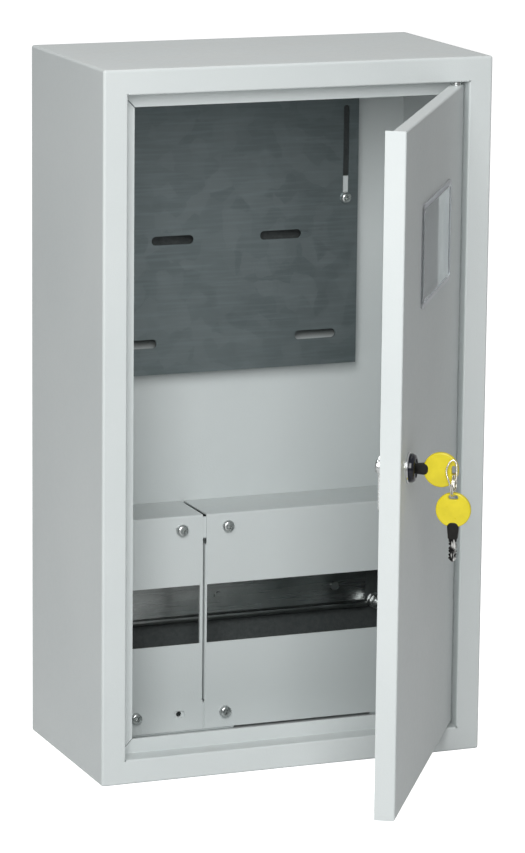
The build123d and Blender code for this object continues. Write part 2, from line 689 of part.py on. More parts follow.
# angle lugs welded inside the door, each with a flat bore plate beyond its leg
LUG_X = -LUG_START
LUG_END = PIN_INSET - SHEET - LUG_SIDE_GAP
LUG_FRONT = LEAF_FRONT + SHEET
LUG_BACK = LEAF_FRONT + DOOR_FLANGE
PLATE_X = LUG_X + LUG_LEG / 2
PLATE_FRONT = LUG_FRONT + WASHER_PLAY
with BuildPart() as leaf_lugs:
    for end, turn in ((DOOR_Z1, -1), (DOOR_Z0, 1)):
        bore_z = end + turn * (SHEET + LUG_GAP + LUG_T / 2)
        with BuildSketch(Plane.YZ.offset(LUG_X)):
            with BuildLine():
                FilletPolyline(
                    (LUG_BACK, bore_z),
                    (LUG_FRONT + LUG_T / 2, bore_z),
                    (LUG_FRONT + LUG_T / 2, bore_z + turn * LUG_RISE),
                    radius=LUG_T,
                )
            trace(line_width=LUG_T)
        extrude(amount=LUG_LEG)
        with BuildSketch(Plane.XY.offset(bore_z - LUG_T / 2)):
            with Locations(((PLATE_X + LUG_END) / 2, (PLATE_FRONT + LUG_BACK) / 2)):
                Rectangle(LUG_END - PLATE_X, LUG_BACK - PLATE_FRONT)
        extrude(amount=LUG_T)
        with BuildSketch(Plane.XY.offset(bore_z - LUG_T)):
            Circle(HOLE_R)
        extrude(amount=2 * LUG_T, mode=Mode.SUBTRACT)

PIN_REACH = SHEET + LUG_GAP + LUG_T + DOOR_END_GAP + SHEET + PIN_BEYOND
with BuildPart() as leaf_pins:
    for end, turn in ((DOOR_Z1, 1), (DOOR_Z0, -1)):
        under = end - turn * (SHEET + LUG_GAP + LUG_T)
        with BuildSketch(Plane.XY.offset(under)):
            Circle(PIN_HEAD_D / 2)
        extrude(amount=-turn * PIN_HEAD_H)
        with BuildSketch(Plane.XY.offset(under)):
            Circle(PIN_D / 2)
        extrude(amount=turn * PIN_REACH)

# open rings snapped round the pins above the lugs
with BuildPart() as leaf_clips:
    for end, turn in ((DOOR_Z1, 1), (DOOR_Z0, -1)):
        with BuildSketch(Plane.XY.offset(end - turn * (SHEET + LUG_GAP))):
            Circle(CLIP_D / 2)
            Circle(PIN_D / 2, mode=Mode.SUBTRACT)
            with Locations((-CLIP_D / 2, 0)):
                Rectangle(CLIP_D, CLIP_MOUTH, mode=Mode.SUBTRACT)
        extrude(amount=turn * CLIP_T)

# washers standing on the end flanges, in the gap to the frame
with BuildPart() as leaf_washers:
    for end, turn in ((DOOR_Z1, 1), (DOOR_Z0, -1)):
        with BuildSketch(Plane.XY.offset(end)):
            Circle(WASHER_D / 2)
            Circle(HOLE_R, mode=Mode.SUBTRACT)
        extrude(amount=turn * (DOOR_END_GAP - WASHER_PLAY))

# clear snap-in window: face plate with a thicker border, skirt and hooks
HOOK_ROOT = SKIRT_W / 2 - SKIRT_T / 3
with BuildPart() as leaf_window:
    with BuildSketch(out(0)):
        with Locations(WINDOW_AT):
            RectangleRounded(WINDOW_W, WINDOW_H, WINDOW_R)
    extrude(amount=WINDOW_T)
    chamfer(leaf_window.faces().sort_by(Axis.Y)[0].edges(), WINDOW_CHAMFER)
    with BuildSketch(out(WINDOW_T)):
        with Locations(WINDOW_AT):
            Rectangle(WINDOW_W - 2 * WINDOW_BORDER, WINDOW_H - 2 * WINDOW_BORDER)
    extrude(amount=-WINDOW_SINK, mode=Mode.SUBTRACT)
    with BuildSketch(out(0)):
        with Locations(WINDOW_AT):
            RectangleRounded(SKIRT_W, SKIRT_H, WINDOW_R - CUT - SKIRT_PLAY)
            Rectangle(SKIRT_W - 2 * SKIRT_T, SKIRT_H - 2 * SKIRT_T, mode=Mode.SUBTRACT)
    extrude(amount=-SKIRT_DEPTH)
    with BuildSketch(Plane.XY.offset(WINDOW_Z)):
        for side in (-1, 1):
            with BuildLine():
                Polyline(
                    (WINDOW_X + side * HOOK_ROOT, LEAF_FRONT + SHEET),
                    (WINDOW_X + side * (SKIRT_W / 2 + HOOK_OUT), LEAF_FRONT + SHEET),
                    (WINDOW_X + side * SKIRT_W / 2, LEAF_FRONT + HOOK_END),
                    (WINDOW_X + side * HOOK_ROOT, LEAF_FRONT + HOOK_END),
                    close=True,
                )
            make_face()
    extrude(amount=HOOK_W / 2, both=True)

# lock body: flange outside the door, flatted barrel through it
HEAD_SEAT = PLUG_PROUD - PLUG_HEAD_H
PLUG_HOLE = PLUG_D / 2 + PLUG_PLAY
HEAD_HOLE = PLUG_HEAD_D / 2 + 2 * PLUG_PLAY
with BuildPart() as leaf_lock:
    with BuildSketch(out(0)):
        with Locations(LOCK_AT):
            Circle(FLANGE_D / 2)
    extrude(amount=FLANGE_T)
    chamfer(leaf_lock.faces().sort_by(Axis.Y)[0].edges(), FLANGE_CHAMFER)
    with BuildSketch(out(0)):
        with Locations(LOCK_AT):
            Circle(BOSS_D / 2)
    extrude(amount=CAP_H - CAP_WALL)
    with BuildSketch(out(0)):
        with Locations(LOCK_AT):
            Circle(BARREL_D / 2)
            Rectangle(BARREL_FLATS, 2 * BARREL_D, mode=Mode.INTERSECT)
    extrude(amount=-BARREL_L)
    with BuildSketch(out(-BARREL_L)):
        with Locations(LOCK_AT):
            Circle(PLUG_HOLE)
    extrude(amount=BARREL_L + CAP_H, mode=Mode.SUBTRACT)
    with BuildSketch(out(HEAD_SEAT)):
        with Locations(LOCK_AT):
            Circle(HEAD_HOLE)
    extrude(amount=CAP_H, mode=Mode.SUBTRACT)

# domed cap around the key opening
with BuildPart() as leaf_cap:
    with BuildSketch(out(FLANGE_T)):
        with Locations(LOCK_AT):
            Circle(FLANGE_D / 2 - CAP_INSET)
    extrude(amount=CAP_H - FLANGE_T)
    chamfer(leaf_cap.faces().sort_by(Axis.Y)[0].edges(), CAP_SLOPE)
    chamfer(leaf_cap.faces().sort_by(Axis.Y)[0].edges(), CAP_SLOPE / 3)
    with BuildSketch(out(FLANGE_T)):
        with Locations(LOCK_AT):
            Circle(BOSS_D / 2)
    extrude(amount=CAP_H - FLANGE_T - CAP_WALL, mode=Mode.SUBTRACT)
    with BuildSketch(out(FLANGE_T)):
        with Locations(LOCK_AT):
            Circle(HEAD_HOLE)
    extrude(amount=CAP_H, mode=Mode.SUBTRACT)

# ring nut behind the door sheet
with BuildPart() as leaf_nut:
    with BuildSketch(out(-SHEET)):
        with Locations(LOCK_AT):
            RegularPolygon(LOCK_NUT / 2, 6, major_radius=False)
            Circle(BARREL_D / 2 - THREAD_DEPTH, mode=Mode.SUBTRACT)
    extrude(amount=-LOCK_NUT_H)

# plug with a head at the front, keyway, and a square tang for the cam
PLUG_BACK = -BARREL_L - PLUG_BEHIND
KEYWAY_BOTTOM = PLUG_PROUD - BLADE_L - KEYWAY_BEYOND
with BuildPart() as leaf_plug:
    with BuildSketch(out(PLUG_BACK)):
        with Locations(LOCK_AT):
            Circle(PLUG_D / 2)
    extrude(amount=PLUG_PROUD - PLUG_BACK)
    with BuildSketch(out(HEAD_SEAT)):
        with Locations(LOCK_AT):
            Circle(PLUG_HEAD_D / 2)
    extrude(amount=PLUG_HEAD_H)
    with BuildSketch(out(PLUG_BACK)):
        with Locations(LOCK_AT):
            Rectangle(TANG, TANG)
    extrude(amount=-CAM_T)
    with BuildSketch(out(KEYWAY_BOTTOM)):
        with Locations(LOCK_AT):
            Rectangle(BLADE_T + 2 * KEYWAY_PLAY, BLADE_W + 2 * KEYWAY_PLAY)
    extrude(amount=PLUG_PROUD - KEYWAY_BOTTOM, mode=Mode.SUBTRACT)
    with BuildSketch(out(PLUG_BACK - CAM_T)):
        with Locations(LOCK_AT):
            Circle(CAM_SCREW_D / 2 - PILOT_CUT)
    extrude(amount=CAM_SCREW_L + PILOT_CUT, mode=Mode.SUBTRACT)

# cam: round hub and a straight arm, upright while unlocked
CAM_REACH = LOCK_FROM_EDGE + CAM_OVERREACH
with BuildPart() as leaf_cam:
    with BuildSketch(out(PLUG_BACK)):
        with Locations(LOCK_AT):
            Circle(CAM_HUB_D / 2)
        with Locations((LOCK_X, LOCK_Z - CAM_REACH / 2)):
            Rectangle(CAM_W, CAM_REACH)
        with Locations(LOCK_AT):
            Rectangle(TANG + 2 * PLUG_PLAY, TANG + 2 * PLUG_PLAY, mode=Mode.SUBTRACT)
    extrude(amount=-CAM_T)
    fillet(leaf_cam.edges().filter_by(Axis.Y).group_by(Axis.Z)[0], CAM_END_R)

with BuildPart() as leaf_cam_screw:
    with BuildSketch(out(PLUG_BACK - CAM_T)):
        with Locations(LOCK_AT):
            Circle(CAM_SCREW_HEAD_D / 2)
    extrude(amount=-CAM_SCREW_HEAD_H)
    chamfer(leaf_cam_screw.faces().sort_by(Axis.Y)[-1].edges(), CAM_SCREW_CHAMFER)
    with BuildSketch(out(PLUG_BACK - CAM_T)):
        with Locations(LOCK_AT):
            Circle(CAM_SCREW_D / 2)
    extrude(amount=CAM_SCREW_L)

# earth stud and nut inside the door
DOOR_STUD_AT = (PIN_INSET - DOOR_STUD_FROM_EDGE, DOOR_STUD_Z)
with BuildPart() as leaf_stud:
    with BuildSketch(out(-SHEET)):
        with Locations(DOOR_STUD_AT):
            Circle(STUD_D / 2)
    extrude(amount=-DOOR_STUD_L)
with BuildPart() as leaf_stud_nut:
    with BuildSketch(out(-SHEET)):
        with Locations(DOOR_STUD_AT):
            Circle(STUD_WASHER_D / 2)
            Circle(NUT_BORE, mode=Mode.SUBTRACT)
    extrude(amount=-UPPER_WASHER_T)
    with BuildSketch(out(-SHEET - UPPER_WASHER_T)):
        with Locations(DOOR_STUD_AT):
            RegularPolygon(NUT_FLATS / 2, 6, major_radius=False)
            Circle(NUT_BORE, mode=Mode.SUBTRACT)
    extrude(amount=-NUT_H)

# keys, drawn lying along +X from the bow centre towards the tip
SHOULDER = BOW_D / 2 + NECK_L
NECK_START = sqrt((BOW_D / 2) ** 2 - (NECK_W / 2) ** 2)
TIP_X = SHOULDER + BLADE_L
with BuildPart() as key_blank:
    with BuildSketch(Plane.XY.offset(-BLADE_T / 2)):
        with BuildLine():
            Polyline(
                (SHOULDER - BLADE_HELD, -BLADE_W / 2),
                (TIP_X - BLADE_TIP, -BLADE_W / 2),
                (TIP_X, -TIP_W / 2),
                (TIP_X, TIP_W / 2),
                (TIP_X - BLADE_TIP, BLADE_W / 2),
                (SHOULDER - BLADE_HELD, BLADE_W / 2),
                close=True,
            )
        make_face()
        for place, bit in enumerate(BIT_DEPTHS):
            bit_x = SHOULDER + (place + 1) * BIT_PITCH
            with Locations((bit_x, BLADE_W / 2)):
                RegularPolygon(bit, 4, mode=Mode.SUBTRACT)
            with Locations((bit_x, -BLADE_W / 2)):
                RegularPolygon(BIT_SUM - bit, 4, mode=Mode.SUBTRACT)
    extrude(amount=BLADE_T)
    # groove along the blade
    with BuildSketch(Plane.XY.offset(BLADE_T / 2)):
        with Locations((SHOULDER + (BLADE_L - BLADE_TIP) / 2, 0)):
            Rectangle(BLADE_L - BLADE_TIP, GROOVE_W)
    extrude(amount=-GROOVE_D, mode=Mode.SUBTRACT)

with BuildPart() as key_neck:
    with BuildSketch(Plane.XY.offset(-NECK_T / 2)):
        with Locations(((NECK_START + SHOULDER) / 2, 0)):
            Rectangle(SHOULDER - NECK_START, NECK_W)
    extrude(amount=NECK_T)
    chamfer(key_neck.edges().filter_by(Axis.X), NECK_CHAMFER)
    with BuildSketch(Plane.XY.offset(-TONGUE_T / 2)):
        with Locations((NECK_START - TONGUE_L / 2, 0)):
            Rectangle(TONGUE_L, TONGUE_W)
    extrude(amount=TONGUE_T)
    with BuildSketch(Plane.XY.offset(-BLADE_T / 2)):
        with Locations((SHOULDER - BLADE_HELD / 2, 0)):
            Rectangle(BLADE_HELD, BLADE_W)
    extrude(amount=BLADE_T, mode=Mode.SUBTRACT)

EYE_OFFSET = BOW_D / 2 - EYE_FROM_RIM
with BuildPart() as key_bow:
    with BuildSketch(Plane.XY.offset(-BOW_T / 2)):
        Circle(BOW_D / 2)
    extrude(amount=BOW_T)
    chamfer(key_bow.edges(), BOW_CHAMFER)
    with BuildSketch(Plane.XY.offset(-BOW_T / 2)):
        with Locations((-EYE_OFFSET, 0)):
            SlotOverall(EYE_L, EYE_W, rotation=90)
        # the bow is cut square where the neck enters it
        with Locations((NECK_START + NECK_L / 2, 0)):
            Rectangle(NECK_L, NECK_W)
    extrude(amount=BOW_T, mode=Mode.SUBTRACT)
    with BuildSketch(Plane.XY.offset(-TONGUE_T / 2)):
        with Locations((NECK_START - TONGUE_L / 2, 0)):
            Rectangle(TONGUE_L, TONGUE_W)
    extrude(amount=TONGUE_T, mode=Mode.SUBTRACT)

# places of the keys about the hinge line: one in the lock, one hanging on the ring
KEY_Y = LEAF_FRONT - PLUG_PROUD - SHOULDER
EYE_Y = KEY_Y - EYE_OFFSET
IN_LOCK = Plane(origin=(LOCK_X, KEY_Y, LOCK_Z), x_dir=(0, 1, 0), z_dir=(-1, 0, 0)).location
RING_Z = LOCK_Z - (EYE_L - EYE_W) / 2 - RING_R
SPARE_EYE_Z = RING_Z - RING_R - (EYE_W / 2 - WIRE_D / 2 - WIRE_PLAY)
SPARE_AT = (LOCK_X, EYE_Y, SPARE_EYE_Z - EYE_OFFSET)
ON_RING = Plane(origin=SPARE_AT, x_dir=(0, 0, -1), z_dir=(-1, 0, 0)).location


def bent_wire(start, middle, end):
    """Eight-sided wire that follows the arc through three points."""
    bend = ThreePointArc(start, middle, end)
    with BuildPart() as wire:
        with BuildSketch(Plane(origin=bend @ 0, z_dir=bend % 0)):
            RegularPolygon(WIRE_D / 2, 8)
        revolve(axis=Axis(bend.arc_center, bend.normal()), revolution_arc=degrees(bend.length / bend.radius))
    return wire.part


# split ring drawn flat: X to the front of the bow, Y up, Z towards the door
RING_PLANE = Plane(origin=(LOCK_X, EYE_Y, RING_Z), x_dir=(-1, 0, 0), z_dir=(0, 1, 0))
with BuildPart() as ring_wire:
    # the two closed coils lie side by side and are drawn as one flat-sided band
    with BuildSketch(Plane.XZ) as band:
        with Locations((RING_R, 0)):
            Rectangle(WIRE_D, 2 * WIRE_D)
        chamfer(band.vertices(), WIRE_FLAT)
    revolve(axis=Axis.Z)
    # the free end is sprung open and stands up in front of the bow
    with Locations((RING_R, 0, 0)):
        add(bent_wire((0, 0, 0), RISING_MIDDLE, SPRUNG_TOP))
        add(bent_wire(SPRUNG_TOP, FALLING_MIDDLE, FREE_TIP))
        with Locations(SPRUNG_TOP):
            Sphere(WIRE_D / 2)

# everything on the door is turned to the open position
with BuildPart() as door_panel:
    with Locations(OPENED):
        add(leaf.part)
with BuildPart() as hinge_lugs:
    with Locations(OPENED):
        add(leaf_lugs.part)
with BuildPart() as hinge_pins:
    with Locations(OPENED):
        add(leaf_pins.part)
with BuildPart() as hinge_clips:
    with Locations(OPENED):
        add(leaf_clips.part)
with BuildPart() as hinge_washers:
    with Locations(OPENED):
        add(leaf_washers.part)
with BuildPart() as window_pane:
    with Locations(OPENED):
        add(leaf_window.part)
with BuildPart() as lock_body:
    with Locations(OPENED):
        add(leaf_lock.part)
with BuildPart() as lock_cap:
    with Locations(OPENED):
        add(leaf_cap.part)
with BuildPart() as lock_nut:
    with Locations(OPENED):
        add(leaf_nut.part)
with BuildPart() as door_stud:
    with Locations(OPENED):
        add(leaf_stud.part)
with BuildPart() as door_stud_nut:
    with Locations(OPENED):
        add(leaf_stud_nut.part)
with BuildPart() as lock_plug:
    with Locations(OPENED):
        add(leaf_plug.part)
with BuildPart() as lock_cam:
    with Locations(OPENED):
        add(leaf_cam.part)
with BuildPart() as cam_screw:
    with Locations(OPENED):
        add(leaf_cam_screw.part)
with BuildPart() as key_blade:
    with Locations(OPENED * IN_LOCK):
        add(key_blank.part)
with BuildPart() as key_grip:
    with Locations(OPENED * IN_LOCK):
        add(key_neck.part)
with BuildPart() as key_head:
    with Locations(OPENED * IN_LOCK):
        add(key_bow.part)
with BuildPart() as key_ring:
    with Locations(OPENED * RING_PLANE.location):
        add(ring_wire.part)
with BuildPart() as spare_key_blade:
    with Locations(OPENED * ON_RING):
        add(key_blank.part)
with BuildPart() as spare_key_grip:
    with Locations(OPENED * ON_RING):
        add(key_neck.part)
with BuildPart() as spare_key_head:
    with Locations(OPENED * ON_RING):
        add(key_bow.part)

housing_shell.part.label = "housing_shell"
export_step(housing_shell.part, "parts/housing_shell.step")
rear_panel.part.label = "rear_panel"
export_step(rear_panel.part, "parts/rear_panel.step")
meter_panel.part.label = "meter_panel"
export_step(meter_panel.part, "parts/meter_panel.step")
panel_brackets.part.label = "panel_brackets"
export_step(panel_brackets.part, "parts/panel_brackets.step")
panel_screws.part.label = "panel_screws"
export_step(panel_screws.part, "parts/panel_screws.step")
left_cover.part.label = "left_cover"
export_step(left_cover.part, "parts/left_cover.step")
right_cover.part.label = "right_cover"
export_step(right_cover.part, "parts/right_cover.step")
cover_screws.part.label = "cover_screws"
export_step(cover_screws.part, "parts/cover_screws.step")
lower_bracket_left.part.label = "lower_bracket_left"
export_step(lower_bracket_left.part, "parts/lower_bracket_left.step")
lower_bracket_right.part.label = "lower_bracket_right"
export_step(lower_bracket_right.part, "parts/lower_bracket_right.step")
upper_bracket.part.label = "upper_bracket"
export_step(upper_bracket.part, "parts/upper_bracket.step")
upper_bracket_right.part.label = "upper_bracket_right"
export_step(upper_bracket_right.part, "parts/upper_bracket_right.step")
din_rail.part.label = "din_rail"
export_step(din_rail.part, "parts/din_rail.step")
rail_rivets.part.label = "rail_rivets"
export_step(rail_rivets.part, "parts/rail_rivets.step")
earth_stud.part.label = "earth_stud"
export_step(earth_stud.part, "parts/earth_stud.step")
earth_washers.part.label = "earth_washers"
export_step(earth_washers.part, "parts/earth_washers.step")
earth_nuts.part.label = "earth_nuts"
export_step(earth_nuts.part, "parts/earth_nuts.step")
door_panel.part.label = "door_panel"
export_step(door_panel.part, "parts/door_panel.step")
hinge_lugs.part.label = "hinge_lugs"
export_step(hinge_lugs.part, "parts/hinge_lugs.step")
hinge_pins.part.label = "hinge_pins"
export_step(hinge_pins.part, "parts/hinge_pins.step")
hinge_clips.part.label = "hinge_clips"
export_step(hinge_clips.part, "parts/hinge_clips.step")
hinge_washers.part.label = "hinge_washers"
export_step(hinge_washers.part, "parts/hinge_washers.step")
window_pane.part.label = "window_pane"
export_step(window_pane.part, "parts/window_pane.step")
lock_body.part.label = "lock_body"
export_step(lock_body.part, "parts/lock_body.step")
lock_cap.part.label = "lock_cap"
export_step(lock_cap.part, "parts/lock_cap.step")
lock_nut.part.label = "lock_nut"
export_step(lock_nut.part, "parts/lock_nut.step")
door_stud.part.label = "door_stud"
export_step(door_stud.part, "parts/door_stud.step")
door_stud_nut.part.label = "door_stud_nut"
export_step(door_stud_nut.part, "parts/door_stud_nut.step")
lock_plug.part.label = "lock_plug"
export_step(lock_plug.part, "parts/lock_plug.step")
lock_cam.part.label = "lock_cam"
export_step(lock_cam.part, "parts/lock_cam.step")
cam_screw.part.label = "cam_screw"
export_step(cam_screw.part, "parts/cam_screw.step")
key_blade.part.label = "key_blade"
export_step(key_blade.part, "parts/key_blade.step")
key_grip.part.label = "key_grip"
export_step(key_grip.part, "parts/key_grip.step")
key_head.part.label = "key_head"
export_step(key_head.part, "parts/key_head.step")
key_ring.part.label = "key_ring"
export_step(key_ring.part, "parts/key_ring.step")
spare_key_blade.part.label = "spare_key_blade"
export_step(spare_key_blade.part, "parts/spare_key_blade.step")
spare_key_grip.part.label = "spare_key_grip"
export_step(spare_key_grip.part, "parts/spare_key_grip.step")
spare_key_head.part.label = "spare_key_head"
export_step(spare_key_head.part, "parts/spare_key_head.step")
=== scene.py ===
"""Wall-mounted electrical enclosure with its door open: finishes, small parts, light and camera.

Sizes and places are in millimetres, and MM takes them to the frame's metres.
"""

import json
from math import cos, pi, radians, sin

import bpy
from mathutils import Matrix, Vector


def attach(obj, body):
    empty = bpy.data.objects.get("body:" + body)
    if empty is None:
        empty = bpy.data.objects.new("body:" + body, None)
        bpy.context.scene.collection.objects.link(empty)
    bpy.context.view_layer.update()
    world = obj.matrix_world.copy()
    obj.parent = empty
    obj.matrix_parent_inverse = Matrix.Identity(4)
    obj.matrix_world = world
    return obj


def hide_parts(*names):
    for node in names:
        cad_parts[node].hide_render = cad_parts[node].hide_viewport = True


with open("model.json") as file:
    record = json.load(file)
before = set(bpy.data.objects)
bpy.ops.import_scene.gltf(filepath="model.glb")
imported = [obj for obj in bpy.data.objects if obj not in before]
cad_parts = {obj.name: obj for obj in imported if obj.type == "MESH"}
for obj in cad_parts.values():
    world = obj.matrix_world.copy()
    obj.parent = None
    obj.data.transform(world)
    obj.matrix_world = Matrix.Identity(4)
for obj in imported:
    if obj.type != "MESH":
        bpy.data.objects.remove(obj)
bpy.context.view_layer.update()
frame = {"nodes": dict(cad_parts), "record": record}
nodes = frame["nodes"]
scene = bpy.context.scene
MM = 0.001


# placing matrices
def moved(x, y, z):
    """Matrix that moves by a distance."""
    return Matrix.Translation(Vector((x, y, z)) * MM)


def turned(angle, axis):
    """Matrix that turns about an axis through the origin."""
    return Matrix.Rotation(angle, 4, axis)


def lying(at, along, up):
    """Matrix that puts a piece at a point with its X along one direction and its Z along another."""
    along, up = Vector(along), Vector(up)
    return moved(*at) @ Matrix((along, up.cross(along), up)).transposed().to_4x4()


# pieces on the door are placed as if it were shut, and OPENED then turns them about its hinge line
HINGE_X = 127.1
HINGE_Y = -77.6
DOOR_OPEN = radians(57.2)
OPENED = moved(HINGE_X, HINGE_Y, 0) @ turned(DOOR_OPEN, "Z")
FACING_FRONT = turned(pi / 2, "X")
LEAF_FRONT = -4.9
LOCK_X = -230.1
LOCK_Z = 274.0
OUT_OF_DOOR = moved(LOCK_X, LEAF_FRONT, LOCK_Z) @ FACING_FRONT

# window in the door
WINDOW_X = -121.1
WINDOW_Z = 418.0
IN_WINDOW = moved(WINDOW_X, LEAF_FRONT, WINDOW_Z)
WINDOW_W = 132.0
WINDOW_H = 76.0
WINDOW_T = 1.8
WINDOW_CORNER = 6.0
WINDOW_RIM = 0.9
WINDOW_BORDER = 4.5
BORDER_FADE = 1.0
WINDOW_SINK = 0.6
SKIRT_INSET = 4.2
SKIRT_T = 1.4
SKIRT_DEPTH = 4.5

# how near a place or a direction has to be for a face or an edge to be chosen, and a seam to be closed
NEAR = 0.01
ALONG = 0.9
ACROSS = 0.1
FLAT = 0.99
SEAM_GAP = 0.002


# choosing faces and edges
def upright(middle, direction):
    """Edges that stand along Z."""
    return abs(direction.z) > ALONG


def rim_at(height):
    """Chooser of the level edges at a height."""
    return lambda middle, direction: middle.z > height - NEAR and abs(direction.z) < ACROSS


def top(centre, normal):
    """Faces that face up."""
    return normal.z > FLAT


def underside(centre, normal):
    """Faces that face down."""
    return normal.z < -FLAT


def on_axis(centre):
    """Whether a face's centre is on the piece's own axis."""
    return centre.xy.length < ACROSS


# modelling by hand
def clear_selection():
    """Nothing is selected, and no object is being edited."""
    if bpy.context.object and bpy.context.object.mode != "OBJECT":
        bpy.ops.object.mode_set(mode="OBJECT")
    bpy.ops.object.select_all(action="DESELECT")


def pick_up(piece):
    """Only this piece is selected, and it is the active one."""
    clear_selection()
    bpy.context.view_layer.objects.active = piece
    piece.select_set(True)


def settle(piece):
    """Puts the object's place, turn and size into its mesh."""
    pick_up(piece)
    bpy.ops.object.transform_apply(location=True, rotation=True, scale=True)
    return piece


def name_piece(name):
    """The primitive that was just added, named and with its scale in its mesh."""
    piece = bpy.context.object
    piece.name = name
    piece.data.name = name
    return settle(piece)


def disc(name, radius, height, bottom, sides):
    """Upright cylinder standing at a height."""
    clear_selection()
    bpy.ops.mesh.primitive_cylinder_add(
        vertices=sides, radius=radius * MM, depth=height * MM, location=(0, 0, (bottom + height / 2) * MM)
    )
    return name_piece(name)


def block(name, size, centre):
    """Box of a size about a centre."""
    clear_selection()
    bpy.ops.mesh.primitive_cube_add(size=1, location=[v * MM for v in centre], scale=[v * MM for v in size])
    return name_piece(name)


def with_nothing_chosen(piece):
    """Picks the piece up with no vertex, edge or face of its mesh selected."""
    pick_up(piece)
    mesh = piece.data
    for items in (mesh.vertices, mesh.edges, mesh.polygons):
        items.foreach_set("select", [False] * len(items))
    return mesh


def edit_faces(piece, chosen):
    """Starts editing with the faces chosen by centre and normal."""
    for face in with_nothing_chosen(piece).polygons:
        face.select = bool(chosen(face.center / MM, face.normal))
    scene.tool_settings.mesh_select_mode = (False, False, True)
    bpy.ops.object.mode_set(mode="EDIT")


def edit_edges(piece, chosen):
    """Starts editing with the edges chosen by middle and direction."""
    mesh = with_nothing_chosen(piece)
    for edge in mesh.edges:
        start, end = (mesh.vertices[v].co for v in edge.vertices)
        if chosen((start + end) / 2 / MM, (end - start).normalized()):
            edge.select = True
            for v in edge.vertices:
                mesh.vertices[v].select = True
    scene.tool_settings.mesh_select_mode = (False, True, False)
    bpy.ops.object.mode_set(mode="EDIT")


def round_edges(piece, chosen, radius, steps):
    """Rounds the chosen edges."""
    edit_edges(piece, chosen)
    bpy.ops.mesh.bevel(offset=radius * MM, segments=steps, profile=0.5, affect="EDGES")
    clear_selection()


def inset(width):
    """Insets the selected faces."""
    bpy.ops.mesh.inset(thickness=width * MM, depth=0)


def push(depth):
    """Moves the selected faces out along their normal, with walls behind them."""
    bpy.ops.mesh.extrude_region_shrink_fatten(TRANSFORM_OT_shrink_fatten={"value": depth * MM})


def push_faces(piece, chosen, border, depth):
    """Insets the chosen faces and moves the inner ones along their normal."""
    edit_faces(piece, chosen)
    if border:
        inset(border)
    push(depth)
    clear_selection()


def narrow_faces(piece, chosen, shares):
    """Scales the chosen faces about their middle."""
    edit_faces(piece, chosen)
    bpy.ops.transform.resize(value=shares)
    clear_selection()


def close_seams(piece):
    """Merges vertices that lie within the seam gap of each other, and takes out what has no size."""
    pick_up(piece)
    bpy.ops.object.mode_set(mode="EDIT")
    bpy.ops.mesh.select_all(action="SELECT")
    bpy.ops.mesh.remove_doubles(threshold=SEAM_GAP * MM)
    bpy.ops.mesh.dissolve_degenerate(threshold=SEAM_GAP * MM)
    clear_selection()


def apply_modifiers(piece):
    """Applies the piece's modifiers in their order."""
    pick_up(piece)
    for name in [modifier.name for modifier in piece.modifiers]:
        bpy.ops.object.modifier_apply(modifier=name)


def cut_away(piece, cutter):
    """Takes the cutter's shape out of the piece."""
    cut = piece.modifiers.new("cut", "BOOLEAN")
    cut.operation = "DIFFERENCE"
    cut.solver = "EXACT"
    cut.object = cutter
    apply_modifiers(piece)
    bpy.data.objects.remove(cutter)
    close_seams(piece)


def place(piece, *matrices):
    """Applies placing matrices, the last one first, and leaves the object at the origin."""
    whole = Matrix.Identity(4)
    for matrix in matrices:
        whole = whole @ matrix
    piece.matrix_world = whole
    return settle(piece)


def copy_piece(piece, name):
    """A copy with its own mesh."""
    twin = piece.copy()
    twin.data = piece.data.copy()
    twin.name = name
    twin.data.name = name
    scene.collection.objects.link(twin)
    return twin


def smooth(piece, limit=40):
    """Smooth shading, broken at edges sharper than the limit in degrees."""
    pick_up(piece)
    bpy.ops.object.shade_smooth_by_angle(angle=radians(limit))


def hand_over(piece, slot, body, replaced, finish=None):
    """Gives a finished piece the finish of its slot, puts it in its body, and hides the CAD node it stands
    for.
    """
    piece.data.materials.clear()
    piece.data.materials.append(finish or FINISHES[slot])
    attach(piece, body)
    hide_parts(replaced)


# shader nodes
def add_node(tree, kind, links=(), **settings):
    """New node with its inputs set or linked."""
    node = tree.nodes.new("ShaderNode" + kind)
    for key, value in settings.items():
        setattr(node, key, value)
    for key, value in dict(links).items():
        if isinstance(value, bpy.types.NodeSocket):
            tree.links.new(value, node.inputs[key])
        else:
            node.inputs[key].default_value = value
    return node


def feed(tree, node, sources):
    """Links sources to the node's inputs of those names."""
    for label, source in sources.items():
        tree.links.new(source, node.inputs[label])


def object_place(tree):
    """The point's place in the object's own coordinates."""
    return add_node(tree, "TexCoord").outputs["Object"]


def combine(tree, operation, first, second):
    """Number made of two others."""
    return add_node(tree, "Math", {0: first, 1: second}, operation=operation).outputs[0]


def combine_vectors(tree, operation, first, second):
    """Vector made of two others."""
    return add_node(tree, "VectorMath", {0: first, 1: second}, operation=operation).outputs[0]


def noise(tree, where, scale, detail):
    """Cloudy noise at a scale."""
    return add_node(tree, "TexNoise", {"Vector": where, "Scale": scale, "Detail": detail})


def level(tree, factor, low, high, start=0.3, stop=0.7):
    """Number that goes from low to high as the factor goes from start to stop."""
    wanted = {"Value": factor, "From Min": start, "From Max": stop, "To Min": low, "To Max": high}
    return add_node(tree, "MapRange", wanted).outputs[0]


def between(tree, factor, low, high, start=0.3, stop=0.7):
    """Colour that goes from low to high as the factor goes from start to stop."""
    mix = tree.nodes.new("ShaderNodeMix")
    mix.data_type = "RGBA"
    tree.links.new(level(tree, factor, 0.0, 1.0, start, stop), mix.inputs["Factor"])
    for end, colour in (("A", low), ("B", high)):
        socket = next(s for s in mix.inputs if s.name == end and s.type == "RGBA")
        if isinstance(colour, bpy.types.NodeSocket):
            tree.links.new(colour, socket)
        else:
            socket.default_value = (*colour, 1)
    return next(s for s in mix.outputs if s.type == "RGBA")


